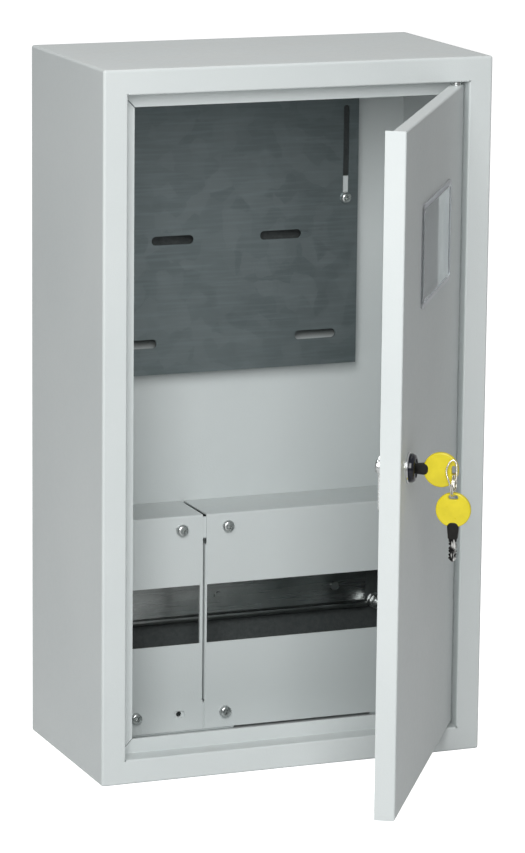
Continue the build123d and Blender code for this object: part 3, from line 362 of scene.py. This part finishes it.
# surface effects that several finishes share, and the scales that are the same in all of them
SPECKS = 260.0
CRYSTAL_WOBBLE = 45.0
CRYSTAL_BEND = 0.012
STAINS = 70.0


def effect(name, inputs, outputs):
    """New node group with its sockets and its two end nodes."""
    tree = bpy.data.node_groups.new(name, "ShaderNodeTree")
    for label, value in inputs.items():
        kind = "NodeSocketVector" if isinstance(value, tuple) else "NodeSocketFloat"
        socket = tree.interface.new_socket(name=label, in_out="INPUT", socket_type=kind)
        socket.default_value = value
    for label in outputs:
        tree.interface.new_socket(name=label, in_out="OUTPUT", socket_type="NodeSocketFloat")
    return tree, tree.nodes.new("NodeGroupInput"), tree.nodes.new("NodeGroupOutput")


def make_powder():
    """Powder coat: fine orange peel as height, a slow change of tone, and specks in the gloss."""
    tree, given, result = effect("powder coat", {"Grain": 900.0, "Patches": 9.0}, ("Height", "Tone", "Gloss"))
    where = object_place(tree)
    peel = noise(tree, where, given.outputs["Grain"], 3.0)
    cells = add_node(tree, "TexVoronoi", {"Vector": where, "Scale": given.outputs["Grain"]})
    patches = noise(tree, where, given.outputs["Patches"], 5.0)
    speck = noise(tree, where, SPECKS, 4.0)
    speck.inputs["Roughness"].default_value = 0.7
    both = combine(tree, "ADD", peel.outputs[0], cells.outputs["Distance"])
    feed(tree, result, {"Height": both, "Tone": patches.outputs[0], "Gloss": speck.outputs[0]})
    return tree


def make_spangle():
    """Zinc crystals: one tone for each crystal."""
    tree, given, result = effect("zinc crystals", {"Crystals": 60.0}, ("Crystal",))
    where = object_place(tree)
    wobble = noise(tree, where, CRYSTAL_WOBBLE, 3.0).outputs["Color"]
    shift = add_node(tree, "VectorMath", {0: wobble, "Scale": CRYSTAL_BEND}, operation="SCALE")
    bent = combine_vectors(tree, "ADD", where, shift.outputs[0])
    cells = add_node(tree, "TexVoronoi", {"Vector": bent, "Scale": given.outputs["Crystals"]})
    split = add_node(tree, "SeparateColor", {0: cells.outputs["Color"]})
    feed(tree, result, {"Crystal": split.outputs[0]})
    return tree


def make_rolled():
    """Drawn or rolled metal: long fine lines along one axis, and stains."""
    tree, given, result = effect("rolled lines", {"Stretch": (30.0, 900.0, 900.0)}, ("Lines", "Stain"))
    where = object_place(tree)
    drawn = combine_vectors(tree, "MULTIPLY", where, given.outputs["Stretch"])
    lines = noise(tree, drawn, 1.0, 3.0)
    stain = noise(tree, where, STAINS, 5.0)
    feed(tree, result, {"Lines": lines.outputs[0], "Stain": stain.outputs[0]})
    return tree


def make_dust():
    """Dust that settles where a surface faces up, broken by noise."""
    tree, given, result = effect("settled dust", {"Amount": 0.3, "Patches": 55.0}, ("Mask",))
    facing = add_node(tree, "SeparateXYZ", {0: add_node(tree, "NewGeometry").outputs["Normal"]})
    upward = level(tree, facing.outputs["Z"], 0.0, 1.0, 0.4, 1.0)
    patches = noise(tree, object_place(tree), given.outputs["Patches"], 6.0)
    spread = level(tree, patches.outputs[0], 0.0, 1.0, 0.35, 0.75)
    settled = combine(tree, "MULTIPLY", upward, spread)
    feed(tree, result, {"Mask": combine(tree, "MULTIPLY", settled, given.outputs["Amount"])})
    return tree


POWDER = make_powder()
SPANGLE = make_spangle()
ROLLED = make_rolled()
DUST = make_dust()

# colours, darker and lighter where a finish varies between two
PAINT = (0.585, 0.625, 0.625), (0.620, 0.657, 0.655)
PAINT_DUST = (0.60, 0.60, 0.57)
# painted shade: near-black tones for the rear sheet where it lies in shade behind the covers and the meter
# panel
SHADE_PAINT_DARK = (0.055, 0.063, 0.063), (0.085, 0.095, 0.095)
DARK_ZINC = (0.165, 0.196, 0.202), (0.192, 0.223, 0.229)
DARK_ZINC_LINES = (0.215, 0.255, 0.262)
BRIGHT_ZINC = (0.50, 0.52, 0.52), (0.64, 0.66, 0.65)
# painted shade: the rail's zinc, darkened for the shade it lies in behind the covers
RAIL_ZINC_SHADED = (0.25, 0.265, 0.26), (0.31, 0.325, 0.32)
PANE_TINT = (0.80, 0.84, 0.87), (0.93, 0.95, 0.98)
CHROME = (0.62, 0.63, 0.64), (0.74, 0.75, 0.76)
LACQUER = (0.002, 0.003, 0.007), (0.004, 0.005, 0.012)
BLACK_PLASTIC = (0.004, 0.004, 0.0035), (0.010, 0.010, 0.009)
YELLOW_PLASTIC = (0.60, 0.50, 0.010), (0.68, 0.57, 0.016)
# painted reflections and highlights: near-black and bright streaks on the key steel stand for what it mirrors
KEY_STREAKS_PAINTED = (0.012, 0.012, 0.012), (0.62, 0.62, 0.60)
RING_NICKEL = (0.66, 0.64, 0.58), (0.80, 0.78, 0.72)

# painted shade on the rear sheet's inner face: near black behind the covers below one height, and behind the
# meter panel above another
SHADE_TOP = 166.0
SHADE_LOW = 300.0
SHADE_MIDDLE = 4.0
SHADE_HALF_W = 104.0
SHADE_FADE = 6.0
SHADE_SIDE_FADE = 3.0
REAR_FACE = 80.9
REAR_FACE_FADE = 0.3


def new_finish(name, effects, **plain):
    """New material with the shader's plain values set, and with the shared effects that it uses."""
    finish = bpy.data.materials.new(name)
    finish.use_nodes = True
    tree = finish.node_tree
    shader = tree.nodes["Principled BSDF"]
    for label, value in plain.items():
        shader.inputs[label.replace("_", " ")].default_value = value
    used = []
    for group, values in effects:
        node = tree.nodes.new("ShaderNodeGroup")
        node.node_tree = group
        for label, value in values.items():
            node.inputs[label].default_value = value
        used.append(node.outputs)
    return finish, tree, shader, *used


def raise_surface(tree, shader, height, depth, strength):
    """Bump of a depth in millimetres under the shader's normal."""
    bump = add_node(tree, "Bump", {"Height": height, "Distance": depth * MM, "Strength": strength})
    tree.links.new(bump.outputs[0], shader.inputs["Normal"])


def powder_coat(name, *more_effects):
    """Powder-coated sheet, its gloss and orange peel set and its colour left to be fed."""
    effects = ((POWDER, {"Grain": 900.0, "Patches": 7.0}), *more_effects)
    finish, tree, shader, powder, *more = new_finish(name, effects, IOR=1.5)
    feed(tree, shader, {"Roughness": level(tree, powder["Gloss"], 0.36, 0.5)})
    raise_surface(tree, shader, powder["Height"], depth=0.08, strength=0.6)
    paint = between(tree, powder["Tone"], *PAINT)
    return finish, tree, shader, paint, powder, *more


def grey_powder_coat():
    """Light grey powder coat with a fine orange peel, and dust where it faces up."""
    dusting = (DUST, {"Amount": 0.25})
    finish, tree, shader, paint, powder, dust = powder_coat("light grey powder coat", dusting)
    feed(tree, shader, {"Base Color": between(tree, dust["Mask"], paint, PAINT_DUST, 0.0, 1.0)})
    return finish


def rear_coat_with_painted_shade():
    """The same coat with painted shade: near black on its inner face behind the covers and the meter panel,
    where shade falls.
    """
    finish, tree, shader, paint, powder = powder_coat("grey coat with painted shade")
    # painted shade colour, its tone varied by the gloss specks
    painted_shade = between(tree, powder["Gloss"], *SHADE_PAINT_DARK)
    spot = add_node(tree, "SeparateXYZ", {0: object_place(tree)}).outputs
    behind_covers = level(tree, spot["Z"], 1.0, 0.0, SHADE_TOP * MM, (SHADE_TOP + SHADE_FADE) * MM)
    off_middle = combine(tree, "SUBTRACT", spot["X"], SHADE_MIDDLE * MM)
    off_middle = add_node(tree, "Math", {0: off_middle}, operation="ABSOLUTE").outputs[0]
    inside = level(tree, off_middle, 1.0, 0.0, SHADE_HALF_W * MM, (SHADE_HALF_W + SHADE_SIDE_FADE) * MM)
    above = level(tree, spot["Z"], 0.0, 1.0, SHADE_LOW * MM, (SHADE_LOW + SHADE_FADE) * MM)
    behind_panel = combine(tree, "MULTIPLY", inside, above)
    shaded_area = combine(tree, "MAXIMUM", behind_covers, behind_panel)
    inner_face = level(tree, spot["Y"], 1.0, 0.0, REAR_FACE * MM, (REAR_FACE + REAR_FACE_FADE) * MM)
    # the painted shade lies on the sheet's inner face only
    painted_shade_mask = combine(tree, "MULTIPLY", shaded_area, inner_face)
    feed(tree, shader, {"Base Color": between(tree, painted_shade_mask, paint, painted_shade, 0.0, 1.0)})
    return finish


def dark_galvanised():
    """Dull dark galvanised sheet with faint crystals and rolling lines."""
    effects = (SPANGLE, {"Crystals": 75.0}), (ROLLED, {"Stretch": (25.0, 300.0, 420.0)})
    finish, tree, shader, crystals, rolled = new_finish("dark galvanised sheet", effects, Metallic=0.75)
    base = between(tree, crystals["Crystal"], *DARK_ZINC, 0.0, 1.0)
    drawn = between(tree, rolled["Lines"], base, DARK_ZINC_LINES, 0.45, 0.9)
    feed(tree, shader, {"Base Color": drawn, "Roughness": level(tree, crystals["Crystal"], 0.4, 0.48, 0, 1)})
    raise_surface(tree, shader, rolled["Lines"], depth=0.02, strength=0.25)
    return finish


def drawn_metal(name, colours, stretch, gloss, gloss_from="Lines"):
    """Bright metal whose colour follows its stains, and its gloss its lines or stains."""
    finish, tree, shader, rolled = new_finish(name, ((ROLLED, {"Stretch": stretch}),), Metallic=1.0)
    stained = between(tree, rolled["Stain"], *colours)
    feed(tree, shader, {"Base Color": stained, "Roughness": level(tree, rolled[gloss_from], *gloss)})
    return finish, tree, shader, rolled


def zinc_plate():
    """Bright zinc plating with faint drawn lines and stains."""
    finish, tree, shader, rolled = drawn_metal(
        "bright zinc plate", BRIGHT_ZINC, stretch=(60.0, 900.0, 900.0), gloss=(0.2, 0.34)
    )
    raise_surface(tree, shader, rolled["Lines"], depth=0.02, strength=0.2)
    return finish


def rail_zinc_painted_shade():
    """Smooth zinc of the rolled rail, darkened as painted shade for the shade it lies in behind the covers.
    """
    finish, tree, shader, rolled = drawn_metal(
        "rolled rail zinc with painted shade", RAIL_ZINC_SHADED, stretch=(8.0, 260.0, 260.0), gloss=(0.24, 0.32)
    )
    raise_surface(tree, shader, rolled["Lines"], depth=0.01, strength=0.1)
    return finish


def bright_chrome():
    """Chrome of the lock, with light handling haze."""
    haze = {"stretch": (200.0, 200.0, 200.0), "gloss": (0.08, 0.2), "gloss_from": "Stain"}
    return drawn_metal("lock chrome", CHROME, **haze)[0]


def ring_nickel():
    """Bright wire of the split ring."""
    return drawn_metal("ring nickel", RING_NICKEL, stretch=(400.0, 400.0, 400.0), gloss=(0.14, 0.28))[0]


def key_nickel_painted_streaks():
    """Nickel-plated key steel, its colour in streaks from near black to bright along milling lines across the
    blade: painted dark reflections and painted highlights.
    """
    effects = ((ROLLED, {"Stretch": (750.0, 750.0, 140.0)}),)
    finish, tree, shader, rolled = new_finish("key nickel", effects, Metallic=1.0)
    painted_streaks = between(tree, rolled["Lines"], *KEY_STREAKS_PAINTED, 0.5, 0.62)
    feed(tree, shader, {"Base Color": painted_streaks, "Roughness": level(tree, rolled["Lines"], 0.18, 0.36)})
    raise_surface(tree, shader, rolled["Lines"], depth=0.03, strength=0.3)
    return finish


def clear_plastic():
    """Clear moulded window plastic: faint smears in its gloss, and a matt border."""
    effects = ((ROLLED, {"Stretch": (90.0, 90.0, 25.0)}),)
    finish, tree, shader, rolled = new_finish(
        "clear window plastic", effects, Transmission_Weight=1.0, IOR=1.45
    )
    on_pane = add_node(tree, "Mapping", {"Vector": object_place(tree)}, vector_type="TEXTURE")
    on_pane.inputs["Location"].default_value = (OPENED @ IN_WINDOW).translation
    on_pane.inputs["Rotation"].default_value = (0, 0, DOOR_OPEN)
    from_middle = add_node(tree, "VectorMath", {0: on_pane.outputs[0]}, operation="ABSOLUTE")
    spot = add_node(tree, "SeparateXYZ", {0: from_middle.outputs[0]}).outputs
    side = WINDOW_W / 2 - WINDOW_BORDER
    end = WINDOW_H / 2 - WINDOW_BORDER
    beside = level(tree, spot["X"], 0.0, 1.0, side * MM, (side + BORDER_FADE) * MM)
    above = level(tree, spot["Z"], 0.0, 1.0, end * MM, (end + BORDER_FADE) * MM)
    border = combine(tree, "MAXIMUM", beside, above)
    smears = level(tree, rolled["Stain"], 0.02, 0.07)
    rough = combine(tree, "MAXIMUM", smears, combine(tree, "MULTIPLY", border, 0.45))
    feed(tree, shader, {"Base Color": between(tree, border, *PANE_TINT, 0.0, 1.0), "Roughness": rough})
    return finish


def moulding(name, colours, grain, patches, gloss, **plain):
    """Smooth plastic or lacquer with a slow change of tone and specks in its gloss."""
    effects = ((POWDER, {"Grain": grain, "Patches": patches}),)
    finish, tree, shader, powder = new_finish(name, effects, **plain)
    tone = between(tree, powder["Tone"], *colours)
    feed(tree, shader, {"Base Color": tone, "Roughness": level(tree, powder["Gloss"], *gloss)})
    return finish, tree, shader, powder


def black_gloss():
    """Glossy black lacquer of the lock's cap."""
    coat = {"Specular_IOR_Level": 0.25, "Coat_Weight": 0.6, "Coat_IOR": 1.35, "Coat_Roughness": 0.04}
    pattern = {"grain": 500.0, "patches": 120.0, "gloss": (0.12, 0.22)}
    return moulding("black gloss lacquer", LACQUER, **pattern, **coat)[0]


def black_moulding():
    """Satin black plastic of the key necks."""
    pattern = {"grain": 1500.0, "patches": 200.0, "gloss": (0.3, 0.45)}
    finish, tree, shader, powder = moulding(
        "satin black plastic", BLACK_PLASTIC, **pattern, Specular_IOR_Level=0.22
    )
    raise_surface(tree, shader, powder["Height"], depth=0.04, strength=0.3)
    return finish


def yellow_moulding():
    """Smooth yellow plastic of the key heads, with a little light inside it."""
    pattern = {"grain": 600.0, "patches": 130.0, "gloss": (0.26, 0.38)}
    finish, tree, shader, powder = moulding(
        "yellow key plastic", YELLOW_PLASTIC, **pattern, IOR=1.48, Subsurface_Weight=0.08
    )
    shader.inputs["Subsurface Radius"].default_value = (0.001, 0.0008, 0.0002)
    raise_surface(tree, shader, powder["Height"], depth=0.03, strength=0.15)
    return finish


FINISHES = {
    "grey_paint": grey_powder_coat(),
    "galvanised": dark_galvanised(),
    "zinc": zinc_plate(),
    "clear_window": clear_plastic(),
    "chrome": bright_chrome(),
    "black_gloss": black_gloss(),
    "black_plastic": black_moulding(),
    "yellow_plastic": yellow_moulding(),
    "key_steel": key_nickel_painted_streaks(),
    "ring_steel": ring_nickel(),
}
# the rail's zinc, darkened as painted shade
RAIL_FINISH_PAINTED_SHADE = rail_zinc_painted_shade()


def finish_cad_nodes():
    """Every CAD node takes the finish of its material slot, apart from the rear sheet and the rivets."""
    for part in frame["record"]["subparts"]:
        mesh = nodes[part["node"]].data
        mesh.materials.clear()
        mesh.materials.append(FINISHES[part["material_slot"]])
    # the rear sheet takes painted shade behind the covers and the meter panel, and the rail's rivets take the
    # rail's zinc darkened as painted shade
    nodes["rear_panel"].data.materials[0] = rear_coat_with_painted_shade()
    nodes["rail_rivets"].data.materials[0] = RAIL_FINISH_PAINTED_SHADE


# floor, light and camera, in metres; the lens and sensor in millimetres, and the angles in radians
FLOOR_SIZE = 60
FLOOR_BACK = 12
FLOOR_GREY = (0.82, 0.82, 0.82, 1)
FLOOR_GLOW = 0.95
SKY_IN_GLOSS = 0.5
SKY_ON_OBJECT = 0.18
LAMPS = (
    # name, place, the point it faces, width and height, watts
    ("key lamp", (-0.72, -1.7, 1.25), (0, 0, 0.3), (1.0, 1.3), 35),
    ("side lamp", (-2.2, 0.1, 0.9), (0, 0, 0.3), (0.8, 1.2), 5),
    ("top lamp", (-0.1, 0.1, 2.4), (0, 0, 0.4), (1.2, 0.8), 12),
)
CAMERA_AT = (-1.16339, -2.92729, 0.91456)
CAMERA_YAW = 0.37963379
CAMERA_PITCH = -0.20802086
CAMERA_ROLL = 0.01061439
CAMERA_LENS = 176.649
CAMERA_SENSOR = 36
CAMERA_REACH = 100


def lay_floor():
    """Pale floor that keeps the shadow and looks white to the camera."""
    clear_selection()
    bpy.ops.mesh.primitive_plane_add(size=FLOOR_SIZE, location=(0, FLOOR_BACK, 0))
    floor = bpy.context.object
    floor.name = "floor"
    paint = bpy.data.materials.new("pale floor")
    paint.use_nodes = True
    tree = paint.node_tree
    tree.nodes.clear()
    seen = add_node(tree, "LightPath").outputs["Is Camera Ray"]
    matt = add_node(tree, "BsdfDiffuse", {"Color": FLOOR_GREY})
    glow = add_node(tree, "Emission", {"Strength": combine(tree, "MULTIPLY", seen, FLOOR_GLOW)})
    both = add_node(tree, "AddShader", {0: matt.outputs[0], 1: glow.outputs[0]})
    feed(tree, tree.nodes.new("ShaderNodeOutputMaterial"), {"Surface": both.outputs[0]})
    floor.data.materials.append(paint)


def surround():
    """White surroundings for the camera and through glass, dimmer in gloss, and a soft fill for the rest."""
    world = bpy.data.worlds.new("studio")
    scene.world = world
    world.use_nodes = True
    tree = world.node_tree
    tree.nodes.clear()
    path = add_node(tree, "LightPath").outputs
    through = combine(tree, "MAXIMUM", path["Is Camera Ray"], path["Is Transmission Ray"])
    mirrored = combine(tree, "MULTIPLY", path["Is Glossy Ray"], SKY_IN_GLOSS)
    seen = combine(tree, "MAXIMUM", through, mirrored)
    strength = combine(tree, "MAXIMUM", seen, SKY_ON_OBJECT)
    sky = add_node(tree, "Background", {"Color": (1, 1, 1, 1), "Strength": strength})
    feed(tree, tree.nodes.new("ShaderNodeOutputWorld"), {"Surface": sky.outputs[0]})


def hang_lamps():
    """One large soft lamp at the front left, with a weak one at the side and one above."""
    for name, spot, aim, size, power in LAMPS:
        data = bpy.data.lights.new(name, "AREA")
        data.shape = "RECTANGLE"
        data.size, data.size_y = size
        data.energy = power
        lamp = bpy.data.objects.new(name, data)
        scene.collection.objects.link(lamp)
        lamp.location = spot
        lamp.rotation_euler = (Vector(aim) - Vector(spot)).to_track_quat("-Z", "Y").to_euler()


def set_camera():
    """The photograph's view, fitted to the housing's corners."""
    ahead = Vector((
        sin(CAMERA_YAW) * cos(CAMERA_PITCH), cos(CAMERA_YAW) * cos(CAMERA_PITCH), sin(CAMERA_PITCH)
    ))
    level_right = Vector((cos(CAMERA_YAW), -sin(CAMERA_YAW), 0))
    level_up = level_right.cross(ahead)
    right = level_right * cos(CAMERA_ROLL) + level_up * sin(CAMERA_ROLL)
    up = level_up * cos(CAMERA_ROLL) - level_right * sin(CAMERA_ROLL)
    data = bpy.data.cameras.new("camera")
    data.sensor_width = CAMERA_SENSOR
    data.lens = CAMERA_LENS
    data.clip_end = CAMERA_REACH
    camera = bpy.data.objects.new("camera", data)
    scene.collection.objects.link(camera)
    camera.matrix_world = Matrix.Translation(CAMERA_AT) @ Matrix((right, up, -ahead)).transposed().to_4x4()
    scene.camera = camera


# screws: the head's rounding, the recess and the tip's inset are shares of the head and of the shank
HEAD_ROUND = 0.72
RECESS_L = 1.12
RECESS_W = 0.24
RECESS_MIDDLE = 0.95
RECESS_TAPER = (0.35, 0.7, 1)
TIP_INSET = 0.25
TIP_L = 0.3
SHANK_STEP = 0.01
COVER_FRONT = 29.5
COVER_SCREWS = (
    # name, x, z, turn in degrees
    ("left_top", -49.6, 164.6, 12),
    ("left_low", -87.2, 16.6, 40),
    ("right_top", -11.5, 165.3, 28),
    ("right_low", -12.8, 15.8, -18),
    ("corner_top", 135.0, 165.3, 5),
    ("corner_low", 135.0, 15.8, 33),
)
PANEL_FRONT = 67.5
PANEL_SCREWS = (("left", -99.5, 413.0, 20), ("right", 99.5, 413.0, 50))
COVER_SCREW = {"head_r": 4.85, "head_h": 3.2, "shank_r": 2.5, "shank_l": 9.0}
PANEL_SCREW = {"head_r": 4.4, "head_h": 3.4, "shank_r": 2.0, "shank_l": 6.5}


def pan_screw(name, head_r, head_h, shank_r, shank_l):
    """Pan-head screw with a cross recess, head up, seated at height zero."""
    screw = disc(name, head_r, head_h, 0, 40)
    round_edges(screw, rim_at(head_h), head_h * HEAD_ROUND, steps=6)
    push_faces(screw, underside, head_r - shank_r, SHANK_STEP)
    push_faces(screw, lambda c, n: underside(c, n) and on_axis(c), 0, shank_l - SHANK_STEP)
    push_faces(screw, lambda c, n: underside(c, n) and c.z < -shank_l / 2, shank_r * TIP_INSET, TIP_L)
    wing = block("recess", (head_r * RECESS_L, head_r * RECESS_W, head_h), (0, 0, head_h * RECESS_MIDDLE))
    narrow_faces(wing, underside, RECESS_TAPER)
    other = place(copy_piece(wing, "recess across"), turned(pi / 2, "Z"))
    cut_away(screw, wing)
    cut_away(screw, other)
    smooth(screw, 32)
    return screw


def add_screws(kind, sizes, places, front, node):
    """Cross-head screws of one kind, each turned as it was left."""
    first = pan_screw(kind, **sizes)
    for spot, x, z, turn in places:
        screw = copy_piece(first, f"{kind}_{spot}")
        place(screw, moved(x, front, z), FACING_FRONT, turned(radians(turn), "Z"))
        hand_over(screw, "zinc", "housing", node)
    bpy.data.objects.remove(first)


# lock dome and keys
FLANGE_T = 1.6
DOME_R = 10.45
DOME_TOP = 6.2
DOME_ROUND = 3.0
MOUTH_R = 6.9
CUP_R = 8.25
CUP_TOP = 5.85
BOW_R = 12.65
BOW_T = 4.0
BOW_RIM = 1.1
EYE_AT = -9.3
EYE_L = 7.0
EYE_W = 3.2
EYE_END_R = 0.49 * EYE_W
EYE_RIM = 0.3
EYE_REACH = 0.52
NECK_OVER_BOW = 3.6
NECK_START = BOW_R - NECK_OVER_BOW
NECK_END = 21.35
NECK_W = 8.8
NECK_T = 4.8
NECK_END_R = 0.42 * NECK_W
SHOULDER_W = 6.9
SHOULDER_T = 0.66 * NECK_T
SHOULDER_R = 0.9
NECK_RIM = 0.55
NECK_RIM_OVER = 1.2
# places of the key, the spare key and the ring while the door is shut
KEY_Y = -28.9
EYE_Y = -38.2
SPARE_Z = 245.35
RING_Z = 263.7
IN_LOCK = lying((LOCK_X, KEY_Y, LOCK_Z), (0, 1, 0), (-1, 0, 0))
ON_RING = lying((LOCK_X, EYE_Y, SPARE_Z), (0, 0, -1), (-1, 0, 0))
RING_FLAT = lying((LOCK_X, EYE_Y, RING_Z), (-1, 0, 0), (0, 1, 0))


def add_lock_dome():
    """Rounded black cup round the key opening, hollow behind its thin front."""
    dome = disc("lock_dome", DOME_R, DOME_TOP - FLANGE_T, FLANGE_T, 72)
    round_edges(dome, rim_at(DOME_TOP), DOME_ROUND, steps=9)
    edit_faces(dome, lambda c, n: top(c, n) and on_axis(c))
    inset(DOME_R - DOME_ROUND - MOUTH_R)
    edit_faces(dome, underside)
    inset(DOME_R - CUP_R)
    push(FLANGE_T - CUP_TOP)
    inset(CUP_R - MOUTH_R)
    edit_faces(dome, lambda c, n: (top(c, n) or underside(c, n)) and on_axis(c))
    bpy.ops.mesh.bridge_edge_loops()
    place(dome, OPENED, OUT_OF_DOOR)
    smooth(dome)
    hand_over(dome, "black_gloss", "door", "lock_cap")


def on_bow_face(middle):
    """Whether an edge lies in one of the key head's two flat sides."""
    return abs(middle.z) > BOW_T / 2 - NEAR


def round_the_eye(middle):
    """Whether an edge is one of the eye's own."""
    return abs(middle.x - EYE_AT) < EYE_W * EYE_REACH and abs(middle.y) < EYE_L * EYE_REACH


def key_bow():
    """Round key head with rolled rims and a softened eye, flat on its side."""
    bow = disc("bow", BOW_R, BOW_T, -BOW_T / 2, 96)
    round_edges(bow, lambda c, d: on_bow_face(c), BOW_RIM, steps=5)
    eye = block("eye", (EYE_W, EYE_L, 3 * BOW_T), (EYE_AT, 0, 0))
    round_edges(eye, upright, EYE_END_R, steps=7)
    cut_away(bow, eye)
    round_edges(bow, lambda c, d: on_bow_face(c) and round_the_eye(c), EYE_RIM, steps=3)
    smooth(bow)
    return bow


def key_neck():
    """Black neck moulded over the bow's edge, drawn in towards the blade."""
    neck = block("neck", (NECK_END - NECK_START, NECK_W, NECK_T), ((NECK_END + NECK_START) / 2, 0, 0))
    narrow_faces(neck, lambda c, n: n.x > ALONG, (1, SHOULDER_W / NECK_W, SHOULDER_T / NECK_T))
    round_edges(neck, lambda c, d: upright(c, d) and c.x < NECK_START + NEAR, NECK_END_R, steps=8)
    round_edges(neck, lambda c, d: upright(c, d) and c.x > NECK_END - NEAR, SHOULDER_R, steps=4)
    round_edges(neck, lambda c, d: abs(c.z) > NECK_RIM_OVER and not upright(c, d), NECK_RIM, steps=3)
    smooth(neck)
    return neck


def add_keys():
    """Both key heads with their necks: one key in the lock, the other on the ring."""
    bow, neck = key_bow(), key_neck()
    for key, at in (("key", IN_LOCK), ("spare_key", ON_RING)):
        head = place(copy_piece(bow, f"{key}_bow"), OPENED, at)
        hand_over(head, "yellow_plastic", key, f"{key}_head")
        collar = place(copy_piece(neck, f"{key}_neck"), OPENED, at)
        hand_over(collar, "black_plastic", key, f"{key}_grip")
    bpy.data.objects.remove(bow)
    bpy.data.objects.remove(neck)


# split ring: two turns side by side, the free end sprung up in front of the bow
RING_R = 8.3
WIRE_R = 0.6
TURN_PITCH = 1.22
TURN_POINTS = 16
RISE_START = 0.95
SPRUNG_END = (
    (8.1, 4.6, 2.6),
    (6.9, 11.0, 5.6),
    (5.4, 18.6, 2.2),
    (4.6, 19.3, -1.6),
    (5.6, 14.0, -3.2),
    (7.6, 4.5, -2.6),
)


def ring_route():
    """Control points of the wire: two turns of a coil, then the sprung end."""
    pull_in = (2 + cos(2 * pi / TURN_POINTS)) / 3
    route = []
    for step in range(2 * TURN_POINTS):
        angle = 2 * pi * step / TURN_POINTS
        rise = (step / TURN_POINTS - RISE_START) * TURN_PITCH
        route.append((RING_R / pull_in * cos(angle), RING_R / pull_in * sin(angle), rise))
    route.append((RING_R, 0.0, (2 - RISE_START) * TURN_PITCH))
    return [*route, *SPRUNG_END]


def add_ring():
    """Round nickel wire wound twice, its last turn sprung open."""
    data = bpy.data.curves.new("split_ring", "CURVE")
    data.dimensions = "3D"
    data.bevel_depth = WIRE_R * MM
    data.bevel_resolution = 3
    data.use_fill_caps = True
    data.resolution_u = 5
    route = ring_route()
    wire = data.splines.new("NURBS")
    wire.points.add(len(route) - 1)
    for point, spot in zip(wire.points, route):
        point.co = (*(v * MM for v in spot), 1)
    wire.order_u = 4
    wire.use_endpoint_u = True
    ring = bpy.data.objects.new("split_ring", data)
    scene.collection.objects.link(ring)
    pick_up(ring)
    bpy.ops.object.convert(target="MESH")
    ring = bpy.context.object
    close_seams(ring)
    place(ring, OPENED, RING_FLAT)
    smooth(ring, 50)
    hand_over(ring, "ring_steel", "ring", "key_ring")


def in_skirt(centre, normal):
    """Faces of the band on the window's back that its skirt grows from."""
    inward = max(abs(centre.x) - WINDOW_W / 2, abs(centre.y) - WINDOW_H / 2) + SKIRT_INSET
    return underside(centre, normal) and -2 * SKIRT_T < inward < -NEAR


def add_window():
    """Clear snap-in window: rolled rim, sunk centre, and a skirt through the door sheet."""
    pane = block("window_clear", (WINDOW_W, WINDOW_H, WINDOW_T), (0, 0, WINDOW_T / 2))
    round_edges(pane, upright, WINDOW_CORNER, steps=8)
    round_edges(pane, rim_at(WINDOW_T), WINDOW_RIM, steps=5)
    push_faces(pane, top, WINDOW_BORDER - WINDOW_RIM, -WINDOW_SINK)
    edit_faces(pane, underside)
    inset(SKIRT_INSET)
    inset(SKIRT_T)
    push_faces(pane, in_skirt, 0, SKIRT_DEPTH)
    place(pane, OPENED, IN_WINDOW, FACING_FRONT)
    smooth(pane)
    hand_over(pane, "clear_window", "door", "window_pane")


# rail
RAIL_L = 253.0
RAIL_WEB = 27.0
RAIL_WIDE = 35.0
RAIL_SEAT = 79.5
RAIL_DEPTH = 6.5
RAIL_T = 1.0
RAIL_BEND = 0.35
RAIL_Z = 96.2


def add_rail():
    """Top-hat rail folded from one strip, its bends rounded."""
    clear_selection()
    at = (0, RAIL_SEAT * MM, RAIL_Z * MM)
    bpy.ops.mesh.primitive_plane_add(size=MM, rotation=(pi / 2, 0, 0), location=at)
    bpy.context.object.scale = (RAIL_L, RAIL_WEB, 1)
    rail = name_piece("rail_folded")
    edit_edges(rail, lambda c, d: abs(d.x) > ALONG)
    bpy.ops.mesh.extrude_edges_move(TRANSFORM_OT_translate={"value": (0, -RAIL_DEPTH * MM, 0)})
    bpy.ops.mesh.extrude_edges_move(TRANSFORM_OT_translate={"value": (0, 0, 0)})
    bpy.ops.transform.resize(value=(1, 1, RAIL_WIDE / RAIL_WEB), center_override=(0, 0, RAIL_Z * MM))
    clear_selection()
    sheet = rail.modifiers.new("sheet", "SOLIDIFY")
    sheet.thickness = RAIL_T * MM
    sheet.offset = -1
    bends = rail.modifiers.new("bends", "BEVEL")
    bends.width = RAIL_BEND * MM
    bends.segments = 3
    bends.limit_method = "ANGLE"
    apply_modifiers(rail)
    smooth(rail)
    # the rail takes its zinc darkened as painted shade
    hand_over(rail, "zinc", "housing", "din_rail", RAIL_FINISH_PAINTED_SHADE)


scene.view_settings.view_transform = "Standard"
finish_cad_nodes()
add_screws("cover_screw", COVER_SCREW, COVER_SCREWS, COVER_FRONT, "cover_screws")
add_screws("panel_screw", PANEL_SCREW, PANEL_SCREWS, PANEL_FRONT, "panel_screws")
add_lock_dome()
add_keys()
add_ring()
add_window()
add_rail()
lay_floor()
surround()
hang_lamps()
set_camera()
